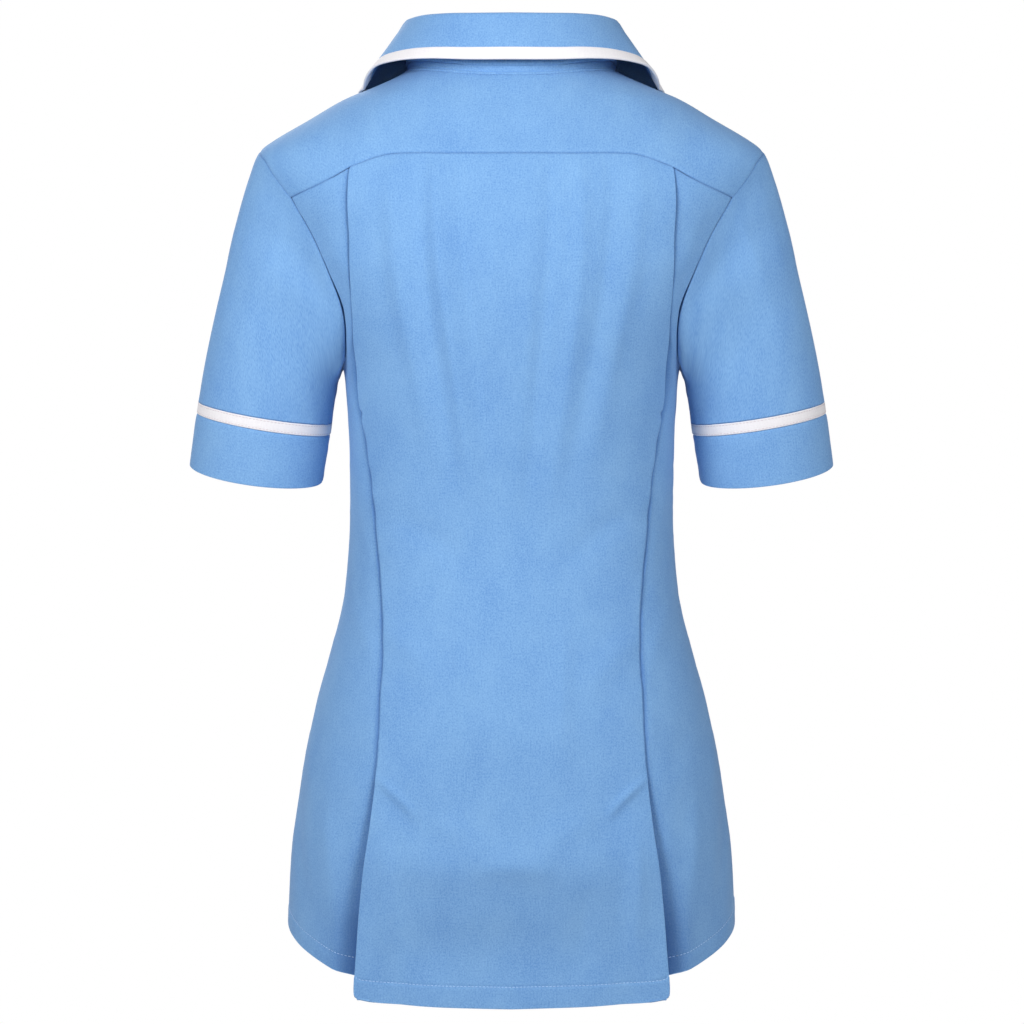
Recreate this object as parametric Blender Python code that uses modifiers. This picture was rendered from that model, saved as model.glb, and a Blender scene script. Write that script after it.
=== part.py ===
"""A short-sleeved medical tunic, filled out as if worn.

The front faces -Y, the back +Y, and the wearer's left is +X. The origin is the middle of the neck, level with
the inner ends of the shoulders. Sizes here are millimetres, and sheet() turns them into metres.

The body of the garment is one smooth surface, worked out from a table of level sections. A seam is a line of
places (angle, level) on it, and each panel is a sheet of cloth between its seams. The angle is 0 at the middle
of the back, 90 degrees at the wearer's left side and 180 degrees at the middle of the front.
"""

import math
from bisect import bisect_right

import bmesh
import bpy
from mathutils import Vector

MM = 0.001
MERGE = 0.00001
WALL = 1.2
SEAM_GAP = 0.4
SHARPEST_CORNER = 0.5
SEAM_STEPS = 12
UP = Vector((0, 0, 1))
ACROSS = Vector((1, 0, 0))

# Linear colours and roughness of the light-blue polycotton, the white binding and the satin buttons.
CLOTH_BLUE = ((0.209, 0.402, 0.745), 0.85)
BINDING_WHITE = ((0.86, 0.86, 0.88), 0.8)
BUTTON_WHITE = ((0.82, 0.83, 0.85), 0.35)

# Level sections of the body: how wide and deep the cloth stands, and how square its corners are.
BODY_SECTIONS = (
    # level, half_width, back_depth, front_depth, back_power, front_power
    (10.0, 66.0, 57.0, 33.0, 2.0, 2.0),
    (1.8, 82.7, 64.0, 39.0, 2.0, 2.0),
    (-3.0, 92.0, 68.0, 43.0, 2.0, 2.0),
    (-12.0, 112.5, 75.0, 49.0, 2.0, 2.0),
    (-21.5, 135.0, 81.0, 54.0, 2.0, 2.0),
    (-37.5, 162.0, 90.0, 61.0, 2.0, 2.0),
    (-53.4, 189.0, 97.5, 68.0, 2.0, 2.0),
    (-61.5, 200.0, 101.0, 72.0, 2.0, 2.0),
    (-70.0, 206.0, 104.5, 76.5, 2.0, 2.0),
    (-84.0, 204.0, 109.0, 84.0, 2.1, 2.1),
    (-104.0, 193.0, 113.5, 94.0, 2.2, 2.1),
    (-130.0, 179.0, 117.5, 106.0, 2.2, 2.2),
    (-156.0, 167.0, 119.0, 116.0, 2.3, 2.2),
    (-182.0, 155.0, 118.0, 125.0, 2.3, 2.3),
    (-206.0, 144.5, 115.5, 131.0, 2.3, 2.4),
    (-236.0, 134.8, 110.5, 133.0, 2.3, 2.5),
    (-262.0, 132.3, 106.0, 129.0, 2.3, 2.5),
    (-294.0, 130.7, 101.0, 119.0, 2.2, 2.4),
    (-326.0, 130.0, 95.5, 108.0, 2.2, 2.3),
    (-358.0, 130.0, 92.0, 99.0, 2.2, 2.2),
    (-391.0, 131.7, 93.0, 98.0, 2.2, 2.2),
    (-423.0, 135.0, 97.5, 102.0, 2.2, 2.2),
    (-455.0, 142.7, 104.0, 107.0, 2.2, 2.2),
    (-488.0, 152.0, 111.0, 112.0, 2.2, 2.2),
    (-520.0, 160.0, 117.0, 116.0, 2.2, 2.2),
    (-552.0, 166.7, 121.0, 119.0, 2.3, 2.2),
    (-585.0, 171.6, 123.0, 121.0, 2.3, 2.3),
    (-617.0, 176.5, 123.5, 122.5, 2.3, 2.3),
    (-650.0, 179.0, 123.0, 123.5, 2.3, 2.3),
    (-694.0, 180.5, 121.5, 124.5, 2.3, 2.3),
    (-740.0, 180.5, 121.0, 125.0, 2.3, 2.3),
)

# Seams and edges of the wearer's left half, each row a point across and its level.
NECK_BACK = ((0, -2.8), (30, -2.4), (55, -0.8), (72, 0.8), (82.7, 1.8))
NECK_FRONT = ((80.5, -4), (76, -17), (68, -34), (55, -51), (36, -66), (14, -76), (3, -78))
SHOULDER_SEAM = (NECK_FRONT[0], (125, -22.5), (165, -46), (198, -68))
YOKE_SEAM_CENTRE = ((0, -68), (45, -68), (87, -67.8), (105, -70.5), (126, -78))
YOKE_SEAM_SIDE = ((126, -78), (142, -87), (158, -94.5), (174.4, -101.5))
ARMHOLE_YOKE = ((174.4, -101.5), (188, -84), (197, -70), (200, -61.5))
ARMHOLE_BACK = ((174.4, -101.5), (159.8, -126.8), (147.8, -152), (139.5, -172), (133.9, -188),
                (131.7, -201), (131.4, -216), (132.6, -229), (134.8, -236))
ARMHOLE_FRONT = ((198, -68), (190, -80), (177, -98), (163, -118), (150, -140), (140, -162), (133.5, -182),
                 (130, -198), (129, -214), (131, -228), (134.8, -236))
PLEAT_LINE = ((126, -78), (127.7, -97), (127, -122), (126, -157), (124, -192), (122.6, -221), (120.4, -259),
              (114.6, -297), (110.8, -327), (105.8, -379), (101.4, -434), (101.4, -463), (104, -514),
              (105.6, -553), (108.4, -583), (112.7, -617), (119.4, -686), (121.8, -730))
BACK_HEM = ((0, -737), (56, -736), (93, -734), (121.8, -730))
SIDE_HEM = ((123.5, -717.5), (142, -709.5), (157, -702), (168, -695.5), (176, -688.5), (180.3, -679))
FRONT_HEM = ((180.3, -679), (172, -692), (140, -708), (90, -719), (40, -724), (0, -725), (-18, -725))

# How many cells of cloth lie along each seam.
CENTRE_CELLS = 20
YOKE_SIDE_SHARES = (0, 0.13, 0.35, 0.57, 0.79, 1)
ARM_YOKE_SHARES = (0, 0.2, 0.4, 0.6, 0.78, 0.92, 1)
ARM_BACK_CELLS = 8
ARM_FRONT_SHARES = (0, 0.04, 0.14, 0.25, 0.36, 0.47, 0.58, 0.69, 0.8, 0.9, 1)
NECK_FRONT_SHARES = (0, 0.08, 0.25, 0.43, 0.62, 0.81, 1)
NECK_LAST_SHARE = 0.98
SIDE_CELLS = 15
SHOULDER_CELLS = 9
BACK_ROWS = 24

# The action pleats: the centre back folds under along the pleat line and lies over the side backs.
UNDERLAY_STEPS = (26, 16, 7)
PLEAT_BOTTOM = -262
PLEAT_TURN = 1.7
PLEAT_TURN_ANGLES = (45, 90, 135, 180)
PLEAT_RETURN = (8, 18)
PLEAT_TOP_TUCK = 1.5
LIFT_REACH = 38
PLEAT_LIFTS = (
    # level, lift: how far the loose fold and the open vent stand away from the body
    (-78, 0), (-110, 2.5), (-150, 5), (-200, 7), (-240, 5.5), (-262, 2.5), (-278, 0.4), (-300, 0),
    (-553, 0), (-600, 1.5), (-680, 3.5), (-736, 4.5),
)
UNDERLAY_DEPTHS = (
    # level, depth: how far the side back lies below the centre back
    (-78, 4.4), (-262, 4.4), (-300, 2.4), (-740, 2.4),
)
UNDERLAY_FADE = 14

# Soft drape folds that hang from the yoke: across and level at the top, across and level at the bottom.
DRAPE_FOLDS = (
    # top_across, top_level, bottom_across, bottom_level, height, half_width
    (69, -95, 62, -330, 2.6, 15),
    (30, -85, 27, -300, 2.2, 14),
    (-30, -80, -26, -340, 2.4, 13),
    (-71, -95, -66, -300, 2.5, 15),
)
DRAPE_FADE = 0.6

# The fronts lap at the middle: the right one lies over the left one, and six buttons close them.
OVERLAP = 18
UNDERLAP_DEPTH = 2.6
UNDERLAP_REACH = 21
UNDERLAP_FADE = 14
BUTTON_COUNT = 6
FIRST_BUTTON_ROW = 1
BUTTON_ROWS_APART = 3
BUTTON_RADIUS = 8.5
BUTTON_THICK = 2.6
BUTTON_RIM = 1.6
BUTTON_DISH = 0.6
BUTTON_ROUND = 0.8
BUTTON_SEAT = 0.5
BUTTON_STEPS = 14

# The short sleeves: rings of the left sleeve from the armhole down, each tilted as the arm hangs.
SLEEVE_RINGS = (
    # name, across, along, level, half_width, half_depth, side_tilt, back_drop
    ("band_top", 198.4, -8.0, -273.0, 56.2, 48.0, 9.3, 5.2),
    ("band_bottom", 199.9, -9.0, -281.8, 56.0, 48.0, 9.3, 5.8),
    ("cuff_bottom", 205.4, -13.0, -320.8, 55.8, 47.5, 7.5, 11.0),
)
SLEEVE_SHARES = (0, 0.04, 0.12, 0.24, 0.4, 0.6, 0.8, 1)
SLEEVE_START_PULL = 60
SLEEVE_END_PULL = 150
CUFF_CELLS = 2
UNDERARM_CLEARANCE = 1.1
UNDERARM_SPRING = 0.3
SHOULDER_TIP_GAP = 0.3

# The turned collar, from the middle of the back (0) to the middle of the front (1).
COLLAR_SECTIONS = (
    # share, rise of the stand, its lean inward, spread of the fall, its drop, push of its belly
    (0.00, 46.3, 8.0, 17.0, 34.8, 1.5),
    (0.12, 45.8, 8.0, 19.5, 34.6, 1.5),
    (0.24, 44.0, 7.0, 26.0, 33.5, 1.5),
    (0.32, 42.5, 6.0, 33.0, 35.0, 1.5),
    (0.38, 41.0, 5.0, 38.5, 39.0, 2.0),
    (0.45, 40.0, 4.0, 40.0, 51.0, 3.0),
    (0.55, 38.0, 3.5, 41.0, 62.0, 3.0),
    (0.66, 35.0, 3.0, 42.0, 68.0, 3.0),
    (0.80, 27.0, 1.0, 44.0, 68.0, 3.0),
    (1.00, 12.0, -2.0, 36.0, 50.0, 2.0),
)
COLLAR_BASE_GAP = 0.1
COLLAR_FOLD_WIDTH = 7.5
COLLAR_FOLD_RISE = 3.2
COLLAR_FOLD_ANGLES = (135, 90, 45)
COLLAR_CLEARANCE = 2.2
CLEARING_MOVES = 4
BINDING = 9.5
BINDING_BORDER = 0.75
BINDING_LARGEST_SHARE = 0.8
POINT_SWING = 26
POINT_START = 0.7
STAND_CELLS = 2
FALL_CELLS = 3


def smooth_table(rows):
    """Reads rows of (key, value, ...) as smooth curves that pass through every row."""
    rows = sorted(rows)
    keys = [row[0] for row in rows]

    def slope(i, column):
        before = rows[max(i - 1, 0)]
        after = rows[min(i + 1, len(rows) - 1)]
        return (after[column] - before[column]) / (after[0] - before[0])

    def read(key):
        key = min(max(key, keys[0]), keys[-1])
        i = min(bisect_right(keys, key), len(keys) - 1) - 1
        span = keys[i + 1] - keys[i]
        t = (key - keys[i]) / span
        values = []
        for column in range(1, len(rows[0])):
            start = rows[i][column]
            end = rows[i + 1][column]
            values.append((1 + 2 * t) * (1 - t) ** 2 * start + t * (1 - t) ** 2 * span * slope(i, column)
                          + t * t * (3 - 2 * t) * end + t * t * (t - 1) * span * slope(i + 1, column))
        return values

    return read


def straight_table(rows):
    """Reads rows of (key, value) as straight stretches."""
    rows = sorted(rows)

    def read(key):
        key = min(max(key, rows[0][0]), rows[-1][0])
        for (start, low), (end, high) in zip(rows, rows[1:]):
            if key <= end:
                return low + (high - low) * (key - start) / (end - start)
        return rows[-1][1]

    return read


def ease(t):
    """A soft step from 0 to 1."""
    t = min(max(t, 0.0), 1.0)
    return t * t * (3 - 2 * t)


body_section = smooth_table(BODY_SECTIONS)
pleat_lift = straight_table(PLEAT_LIFTS)
underlay_depth = straight_table(UNDERLAY_DEPTHS)


def body_radius(angle, level):
    """Distance from the upright axis to the cloth."""
    width, back, front, back_power, front_power = body_section(level)
    across = abs(math.sin(angle))
    along = math.cos(angle)
    depth, power = (back, back_power) if along > 0 else (front, front_power)
    return ((across / width) ** power + (abs(along) / depth) ** power) ** (-1 / power)


def body_place(angle, level):
    radius = body_radius(angle, level)
    return Vector((radius * math.sin(angle), radius * math.cos(angle), level))


def body_normal(angle, level):
    turn = 0.01
    rise = 1.0
    round_body = body_place(angle + turn, level) - body_place(angle - turn, level)
    up_body = body_place(angle, level + rise) - body_place(angle, level - rise)
    return up_body.cross(round_body).normalized()


def on_body(angle, level, out=0.0):
    """A point of the body's surface, moved outward by out."""
    place = body_place(angle, level)
    return place + body_normal(angle, level) * out if out else place


def angle_at(across, level, front=False):
    """The angle of the point of the surface that lies this far across at this level."""
    width, back, front_depth, back_power, front_power = body_section(level)
    depth, power = (front_depth, front_power) if front else (back, back_power)
    share = min(abs(across) / width, 1.0)
    along = depth * (1 - share ** power) ** (1 / power)
    angle = math.atan2(across, -along if front else along)
    return angle + 2 * math.pi if front and across < 0 else angle


def clear_of_body(point, clearance):
    """Moves a point out, square to the surface, until it stands clear of the body."""
    for _ in range(CLEARING_MOVES):
        angle = math.atan2(point.x, point.y)
        normal = body_normal(angle, point.z)
        short = clearance - (point - body_place(angle, point.z)).dot(normal)
        if short <= 0:
            break
        point = point + normal * short
    return point


def seam(points, front=False):
    """A smooth line of (angle, level) places through points given across and by level."""
    knots = [(angle_at(across, level, front), level) for across, level in points]
    knots = [knots[0]] + knots + [knots[-1]]
    line = []
    for before, start, end, after in zip(knots, knots[1:], knots[2:], knots[3:]):
        for step in range(SEAM_STEPS):
            t = step / SEAM_STEPS
            line.append(tuple(
                0.5 * (2 * b + (c - a) * t + (2 * a - 5 * b + 4 * c - d) * t * t
                       + (3 * b - a - 3 * c + d) * t ** 3)
                for a, b, c, d in zip(before, start, end, after)))
    line.append(knots[-1])
    return line


def shares_along(line):
    """The share of the line's real length at each of its places."""
    total = [0.0]
    for start, end in zip(line, line[1:]):
        total.append(total[-1] + (body_place(*end) - body_place(*start)).length)
    return [length / total[-1] for length in total]


def places(line, shares):
    """The places of a line at the given shares of its length."""
    known = shares_along(line)
    found = []
    for share in shares:
        i = min(max(bisect_right(known, share) - 1, 0), len(line) - 2)
        t = (share - known[i]) / (known[i + 1] - known[i])
        found.append(tuple(a + (b - a) * t for a, b in zip(line[i], line[i + 1])))
    return found


def evenly(count):
    return [i / count for i in range(count + 1)]


def at_levels(line, levels):
    """The places where a line that runs down the body passes the given levels."""
    found = []
    for level in levels:
        i = 0
        while i < len(line) - 2 and line[i + 1][1] > level:
            i += 1
        (start, high), (end, low) = line[i], line[i + 1]
        t = (high - level) / (high - low)
        found.append((start + (end - start) * t, level))
    return found


def levels_between(top, bottom, count):
    return [top + (bottom - top) * i / count for i in range(count + 1)]


def fill(top, bottom, left, right):
    """A grid of (angle, level) places between four lines that meet at the corners."""
    down = [(a + b) / 2 for a, b in zip(shares_along(left), shares_along(right))]
    side = [(a + b) / 2 for a, b in zip(shares_along(top), shares_along(bottom))]
    grid = []
    for j, v in enumerate(down):
        row = []
        for i, u in enumerate(side):
            row.append(tuple(
                (1 - v) * top[i][k] + v * bottom[i][k] + (1 - u) * left[j][k] + u * right[j][k]
                - (1 - u) * (1 - v) * top[0][k] - u * (1 - v) * top[-1][k]
                - (1 - u) * v * bottom[0][k] - u * v * bottom[-1][k] for k in range(2)))
        grid.append(row)
    return grid


def cells_of(rows, columns):
    """The four-cornered cells of a grid whose rows run down the body and whose columns run with the angle."""
    return [((j, i), (j, i + 1), (j + 1, i + 1), (j + 1, i))
            for j in range(rows - 1) for i in range(columns - 1)]


def ring_cells(rows, columns):
    """The cells of a tube whose columns run from its outer side over its back."""
    return [((j, i), (j + 1, i), (j + 1, (i + 1) % columns), (j, (i + 1) % columns))
            for j in range(rows - 1) for i in range(columns)]


def material(name, colour, roughness):
    """A plain shader with a linear colour."""
    made = bpy.data.materials.new(name)
    made.use_nodes = True
    shader = made.node_tree.nodes["Principled BSDF"]
    shader.inputs["Base Color"].default_value = (*colour, 1)
    shader.inputs["Roughness"].default_value = roughness
    shader.inputs["Metallic"].default_value = 0
    return made


def draw_in_border(bm, distance):
    """Moves every edge of a sheet inward, so that two pieces that share a seam stand apart."""
    moves = {}
    for vert in bm.verts:
        normals = []
        for edge in vert.link_edges:
            if not edge.is_boundary:
                continue
            along = (edge.verts[1].co - edge.verts[0].co).normalized()
            inward = edge.link_faces[0].calc_center_median() - edge.verts[0].co
            normals.append((inward - along * inward.dot(along)).normalized())
        if len(normals) == 2:
            shared = max(1 + normals[0].dot(normals[1]), SHARPEST_CORNER)
            moves[vert] = (normals[0] + normals[1]) * (distance / shared)
    for vert, move in moves.items():
        vert.co += move


def sheet(name, points, cells, look, collection, mirror=False, border=SEAM_GAP / 2):
    """A sheet of cloth over the cells of a set of points, its wall inward from its outer face."""
    bm = bmesh.new()
    verts = {}
    for cell in cells:
        for key in cell:
            if key not in verts:
                x, y, z = points[key]
                verts[key] = bm.verts.new((-x * MM if mirror else x * MM, y * MM, z * MM))
    for cell in cells:
        corners = [verts[key] for key in (reversed(cell) if mirror else cell)]
        bm.faces.new(corners)
    draw_in_border(bm, border * MM)
    mesh = bpy.data.meshes.new(name)
    bm.to_mesh(mesh)
    bm.free()
    mesh.shade_smooth()
    mesh.materials.append(look)
    piece = bpy.data.objects.new(name, mesh)
    collection.objects.link(piece)
    wall = piece.modifiers.new("wall", "SOLIDIFY")
    wall.thickness = WALL * MM
    wall.offset = -1
    wall.use_quality_normals = True
    return piece


# Seam lines, from the top down or from the back to the front.
neck_back_line = seam(NECK_BACK)
neck_side_line = seam((NECK_BACK[-1], NECK_FRONT[0]), front=True)
neck_yoke_line = neck_back_line[:-1] + neck_side_line
neck_front_line = seam(NECK_FRONT, front=True)
shoulder_line = seam(SHOULDER_SEAM, front=True)
yoke_centre_line = seam(YOKE_SEAM_CENTRE)
yoke_side_line = seam(YOKE_SEAM_SIDE)
armhole_tip_line = seam((ARMHOLE_YOKE[-1], ARMHOLE_FRONT[0]), front=True)
armhole_yoke_line = seam(ARMHOLE_YOKE)[:-1] + armhole_tip_line
armhole_back_line = seam(ARMHOLE_BACK)
armhole_front_line = seam(ARMHOLE_FRONT, front=True)
pleat_line = seam(PLEAT_LINE)
back_hem_line = seam(BACK_HEM)
side_hem_line = seam(SIDE_HEM)
front_hem_line = seam(FRONT_HEM, front=True)

half_centre = places(yoke_centre_line, evenly(CENTRE_CELLS // 2))
yoke_side = places(yoke_side_line, YOKE_SIDE_SHARES)
armhole_yoke = places(armhole_yoke_line, ARM_YOKE_SHARES)
armhole_back = places(armhole_back_line, evenly(ARM_BACK_CELLS))
armhole_front = places(armhole_front_line, ARM_FRONT_SHARES)
HALF_YOKE_CELLS = CENTRE_CELLS // 2 + len(YOKE_SIDE_SHARES) - 1 + len(ARM_YOKE_SHARES) - 1
neck_yoke = places(neck_yoke_line, evenly(HALF_YOKE_CELLS)[:-2] + [NECK_LAST_SHARE, 1])
neck_front = places(neck_front_line, NECK_FRONT_SHARES)
UNDERARM_LEVEL = ARMHOLE_BACK[-1][1]
SIDE_HEM_LEVEL = SIDE_HEM[-1][1]
side_seam = [(math.pi / 2, level) for level in levels_between(UNDERARM_LEVEL, SIDE_HEM_LEVEL, SIDE_CELLS)]


def mirrored(line):
    """The same places on the other side of the body, in the opposite order."""
    return [(-angle, level) for angle, level in reversed(line)]


def drape(across, level):
    """The height of the soft folds at a point of the centre back."""
    height = 0.0
    for top_across, top_level, bottom_across, bottom_level, rise, half_width in DRAPE_FOLDS:
        t = (level - top_level) / (bottom_level - top_level)
        if 0 < t < 1:
            middle = top_across + (bottom_across - top_across) * t
            fade = math.sin(math.pi * t) ** DRAPE_FADE
            height += rise * fade * math.exp(-((across - middle) / half_width) ** 2)
    return height


def make_yoke(look, collection):
    """The yoke: a ribbon of cloth from the neck out to the armholes and the back seam."""
    outer = half_centre + yoke_side[1:] + armhole_yoke[1:]
    outer = mirrored(outer)[:-1] + outer
    inner = mirrored(neck_yoke)[:-1] + neck_yoke
    seam_shares = places(shoulder_line, evenly(SHOULDER_CELLS))
    grid = fill(inner, outer, mirrored(seam_shares)[::-1], seam_shares)
    points = {(j, i): on_body(*place) for j, row in enumerate(grid) for i, place in enumerate(row)}
    sheet("yoke", points, cells_of(len(grid), len(grid[0])), look, collection)


def lift_at(angle, level, edge_angle):
    """How far the centre back stands off the body near its loose edge."""
    away = abs(edge_angle - abs(angle)) * body_radius(angle, level)
    return pleat_lift(level) * ease(1 - away / LIFT_REACH)


def make_back_centre(look, collection):
    """The centre back, with its edges folded under along the two action pleats."""
    levels = levels_between(PLEAT_LINE[0][1], PLEAT_LINE[-1][1], BACK_ROWS)
    edge = at_levels(pleat_line, levels)
    top = mirrored(half_centre)[:-1] + half_centre
    half_hem = places(back_hem_line, evenly(CENTRE_CELLS // 2))
    bottom = mirrored(half_hem)[:-1] + half_hem
    grid = fill(top, bottom, mirrored(edge)[::-1], edge)
    points = {}
    for j, row in enumerate(grid):
        for i, (angle, level) in enumerate(row):
            across = body_place(angle, level).x
            out = lift_at(angle, level, edge[j][0]) + drape(across, level)
            points[j, i] = on_body(angle, level, out)
    cells = cells_of(len(grid), len(grid[0]))
    last_row = max(j for j, level in enumerate(levels) if level >= PLEAT_BOTTOM)
    for side, column in ((-1, 0), (1, CENTRE_CELLS)):
        add_pleat_return(points, cells, grid, edge, side, column, last_row)
    sheet("back_centre", points, cells, look, collection)


def add_pleat_return(points, cells, grid, edge, side, column, last_row):
    """Turns the edge of the centre back under itself and runs it back toward the middle."""
    names = [column] + [(side, k) for k in range(len(PLEAT_TURN_ANGLES) + len(PLEAT_RETURN))]
    for j in range(last_row + 1):
        angle, level = grid[j][column]
        rim = points[j, column]
        normal = body_normal(angle, level)
        outward = normal.cross(UP).normalized() * -side
        if outward.x * side < 0:
            outward = -outward
        centre = rim - normal * PLEAT_TURN
        for k, degrees in enumerate(PLEAT_TURN_ANGLES):
            turn = math.radians(degrees)
            tuck = PLEAT_TOP_TUCK * math.sin(turn) if j == 0 else 0.0
            points[j, (side, k)] = (centre + outward * (PLEAT_TURN * math.sin(turn))
                                    + normal * (PLEAT_TURN * math.cos(turn)) - UP * tuck)
        for k, back in enumerate(PLEAT_RETURN):
            inner = angle - side * back / body_radius(angle, level)
            out = lift_at(inner, level, edge[j][0]) - 2 * PLEAT_TURN
            points[j, (side, len(PLEAT_TURN_ANGLES) + k)] = on_body(inner, level, out)
    for j in range(last_row):
        for first, second in zip(names, names[1:]):
            cell = ((j, first), (j, second), (j + 1, second), (j + 1, first))
            cells.append(cell if side > 0 else cell[::-1])


def make_side_back(name, look, collection, mirror):
    """A side back, with the underlay that runs on beneath the centre back."""
    side_levels = levels_between(UNDERARM_LEVEL, SIDE_HEM[0][1], SIDE_CELLS)
    pleat_levels = levels_between(PLEAT_LINE[0][1], UNDERARM_LEVEL, ARM_BACK_CELLS) + side_levels[1:]
    left = at_levels(pleat_line, pleat_levels)
    right = armhole_back + side_seam[1:]
    bottom = places(side_hem_line, YOKE_SIDE_SHARES)
    bottom[0] = left[-1]
    grid = fill(yoke_side, bottom, left, right)
    points = {}
    for j, row in enumerate(grid):
        edge_angle, edge_level = left[j]
        depth = underlay_depth(edge_level)
        for k, step in enumerate(UNDERLAY_STEPS):
            angle = edge_angle - step / body_radius(edge_angle, edge_level)
            points[j, k] = on_body(angle, edge_level, -depth)
        for i, (angle, level) in enumerate(row):
            away = (angle - edge_angle) * body_radius(angle, level)
            out = -depth * ease(1 - away / UNDERLAY_FADE)
            points[j, i + len(UNDERLAY_STEPS)] = on_body(angle, level, out)
    cells = cells_of(len(grid), len(grid[0]) + len(UNDERLAY_STEPS))
    sheet(name, points, cells, look, collection, mirror)


FRONT_ROWS = len(ARM_FRONT_SHARES) + SIDE_CELLS - len(NECK_FRONT_SHARES) - 1
front_levels = levels_between(NECK_FRONT[-1][1], FRONT_HEM[-1][1], FRONT_ROWS)


def make_front(name, look, collection, mirror, under):
    """A front, from the shoulder seam and the neck down to the hem, with its lap at the middle."""
    top = places(shoulder_line, evenly(SHOULDER_CELLS))[::-1]
    centre_edge = neck_front + [(angle_at(-OVERLAP, level, True), level) for level in front_levels]
    side_edge = armhole_front + side_seam[1:]
    bottom = places(front_hem_line, evenly(SHOULDER_CELLS))
    grid = fill(top, bottom, side_edge, centre_edge)
    points = {}
    for j, row in enumerate(grid):
        for i, (angle, level) in enumerate(row):
            across = body_place(angle, level).x
            out = -UNDERLAP_DEPTH * ease(1 - (across - UNDERLAP_REACH) / UNDERLAP_FADE) if under else 0.0
            points[j, i] = on_body(angle, level, out)
    sheet(name, points, cells_of(len(grid), len(grid[0])), look, collection, mirror)


def armhole_loop():
    """The places round the left armhole: over the shoulder, down the back and up the front."""
    return armhole_yoke[::-1] + armhole_back[1:] + armhole_front[::-1][1:-1]


def ring_point(row, turn):
    """A point of a sleeve ring: turn 0 is the outer side, a quarter turn the back."""
    _, across, along, level, half_width, half_depth, side_tilt, back_drop = row
    tilt = math.radians(side_tilt)
    drop = math.radians(back_drop)
    wide = Vector((math.cos(tilt), 0, math.sin(tilt)))
    deep = Vector((0, math.cos(drop), -math.sin(drop)))
    centre = Vector((across, along, level))
    return centre + wide * (half_width * math.cos(turn)) + deep * (half_depth * math.sin(turn))


def loop_turns(loop):
    """The turn of each armhole place: 0 at the tip of the shoulder, half a turn under the arm."""
    spots = [body_place(*place) for place in loop]
    tip = min(range(len(armhole_yoke)), key=lambda i: abs(loop[i][0] - math.pi / 2))
    under = len(ARM_YOKE_SHARES) - 1 + ARM_BACK_CELLS
    count = len(loop)

    def travel(start, stop):
        lengths = [0.0]
        i = start
        while i != stop:
            following = (i + 1) % count
            lengths.append(lengths[-1] + (spots[following] - spots[i]).length)
            i = following
        return lengths

    turns = {}
    for start, stop, base in ((tip, under, 0), (under, tip, math.pi)):
        lengths = travel(start, stop)
        for step, length in enumerate(lengths[:-1]):
            turns[(start + step) % count] = base + math.pi * length / lengths[-1]
    return [turns[i] for i in range(count)]


def make_sleeve(side, look, white, collection, mirror):
    """A sleeve, its white band and its cuff."""
    loop = armhole_loop()
    turns = loop_turns(loop)
    count = len(loop)
    rings = {row[0]: row for row in SLEEVE_RINGS}
    top_row = rings["band_top"]
    hang = (ring_point(rings["cuff_bottom"], 0) + ring_point(rings["cuff_bottom"], math.pi)
            - ring_point(top_row, 0) - ring_point(top_row, math.pi)).normalized()
    spots = [body_place(*place) for place in loop]
    points = {}
    for i, (place, turn) in enumerate(zip(loop, turns)):
        normal = body_normal(*place)
        along = (spots[(i + 1) % count] - spots[i - 1]).normalized()
        leave = along.cross(normal)
        under = (1 - math.cos(turn)) / 2
        pull = leave * (1 - under) + (hang + normal * UNDERARM_SPRING) * under
        start_pull = pull.normalized() * SLEEVE_START_PULL
        start = spots[i] + normal * (UNDERARM_CLEARANCE * under) + leave * (SHOULDER_TIP_GAP * (1 - under))
        end = ring_point(top_row, turn)
        for j, t in enumerate(SLEEVE_SHARES):
            points[j, i] = (start * ((1 + 2 * t) * (1 - t) ** 2) + start_pull * (t * (1 - t) ** 2)
                            + end * (t * t * (3 - 2 * t)) + hang * (SLEEVE_END_PULL * t * t * (t - 1)))
    sheet(f"sleeve_{side}", points, ring_cells(len(SLEEVE_SHARES), count), look, collection, mirror)
    for name, first, last, cells, finish in (("cuff_band", "band_top", "band_bottom", 1, white),
                                             ("cuff", "band_bottom", "cuff_bottom", CUFF_CELLS, look)):
        points = {}
        for j, t in enumerate(evenly(cells)):
            for i, turn in enumerate(turns):
                points[j, i] = ring_point(rings[first], turn).lerp(ring_point(rings[last], turn), t)
        sheet(f"{name}_{side}", points, ring_cells(cells + 1, count), finish, collection, mirror)


collar_section = smooth_table(COLLAR_SECTIONS)


def collar_column(base, outward, share, swing):
    """The points of the collar above one point of the neck, from its seam over the fold to its edge."""
    rise, lean, spread, drop, belly = collar_section(share)
    start = base + UP * COLLAR_BASE_GAP
    stand_top = base + UP * (rise - COLLAR_FOLD_RISE) - outward * lean
    fall_top = stand_top + outward * COLLAR_FOLD_WIDTH
    column = [start.lerp(stand_top, step / STAND_CELLS) for step in range(STAND_CELLS + 1)]
    for degrees in COLLAR_FOLD_ANGLES:
        arc = math.radians(degrees)
        column.append(stand_top + outward * (COLLAR_FOLD_WIDTH / 2 * (1 + math.cos(arc)))
                      + UP * (COLLAR_FOLD_RISE * math.sin(arc)))
    edge = clear_of_body(stand_top + outward * spread - UP * drop + swing, COLLAR_CLEARANCE)
    length = (edge - fall_top).length
    for step in range(FALL_CELLS + 1):
        t = (1 - BINDING / length) * step / FALL_CELLS
        point = fall_top.lerp(edge, t) + outward * (belly * math.sin(math.pi * t))
        column.append(clear_of_body(point, COLLAR_CLEARANCE))
    column.append(edge)
    return column


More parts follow.
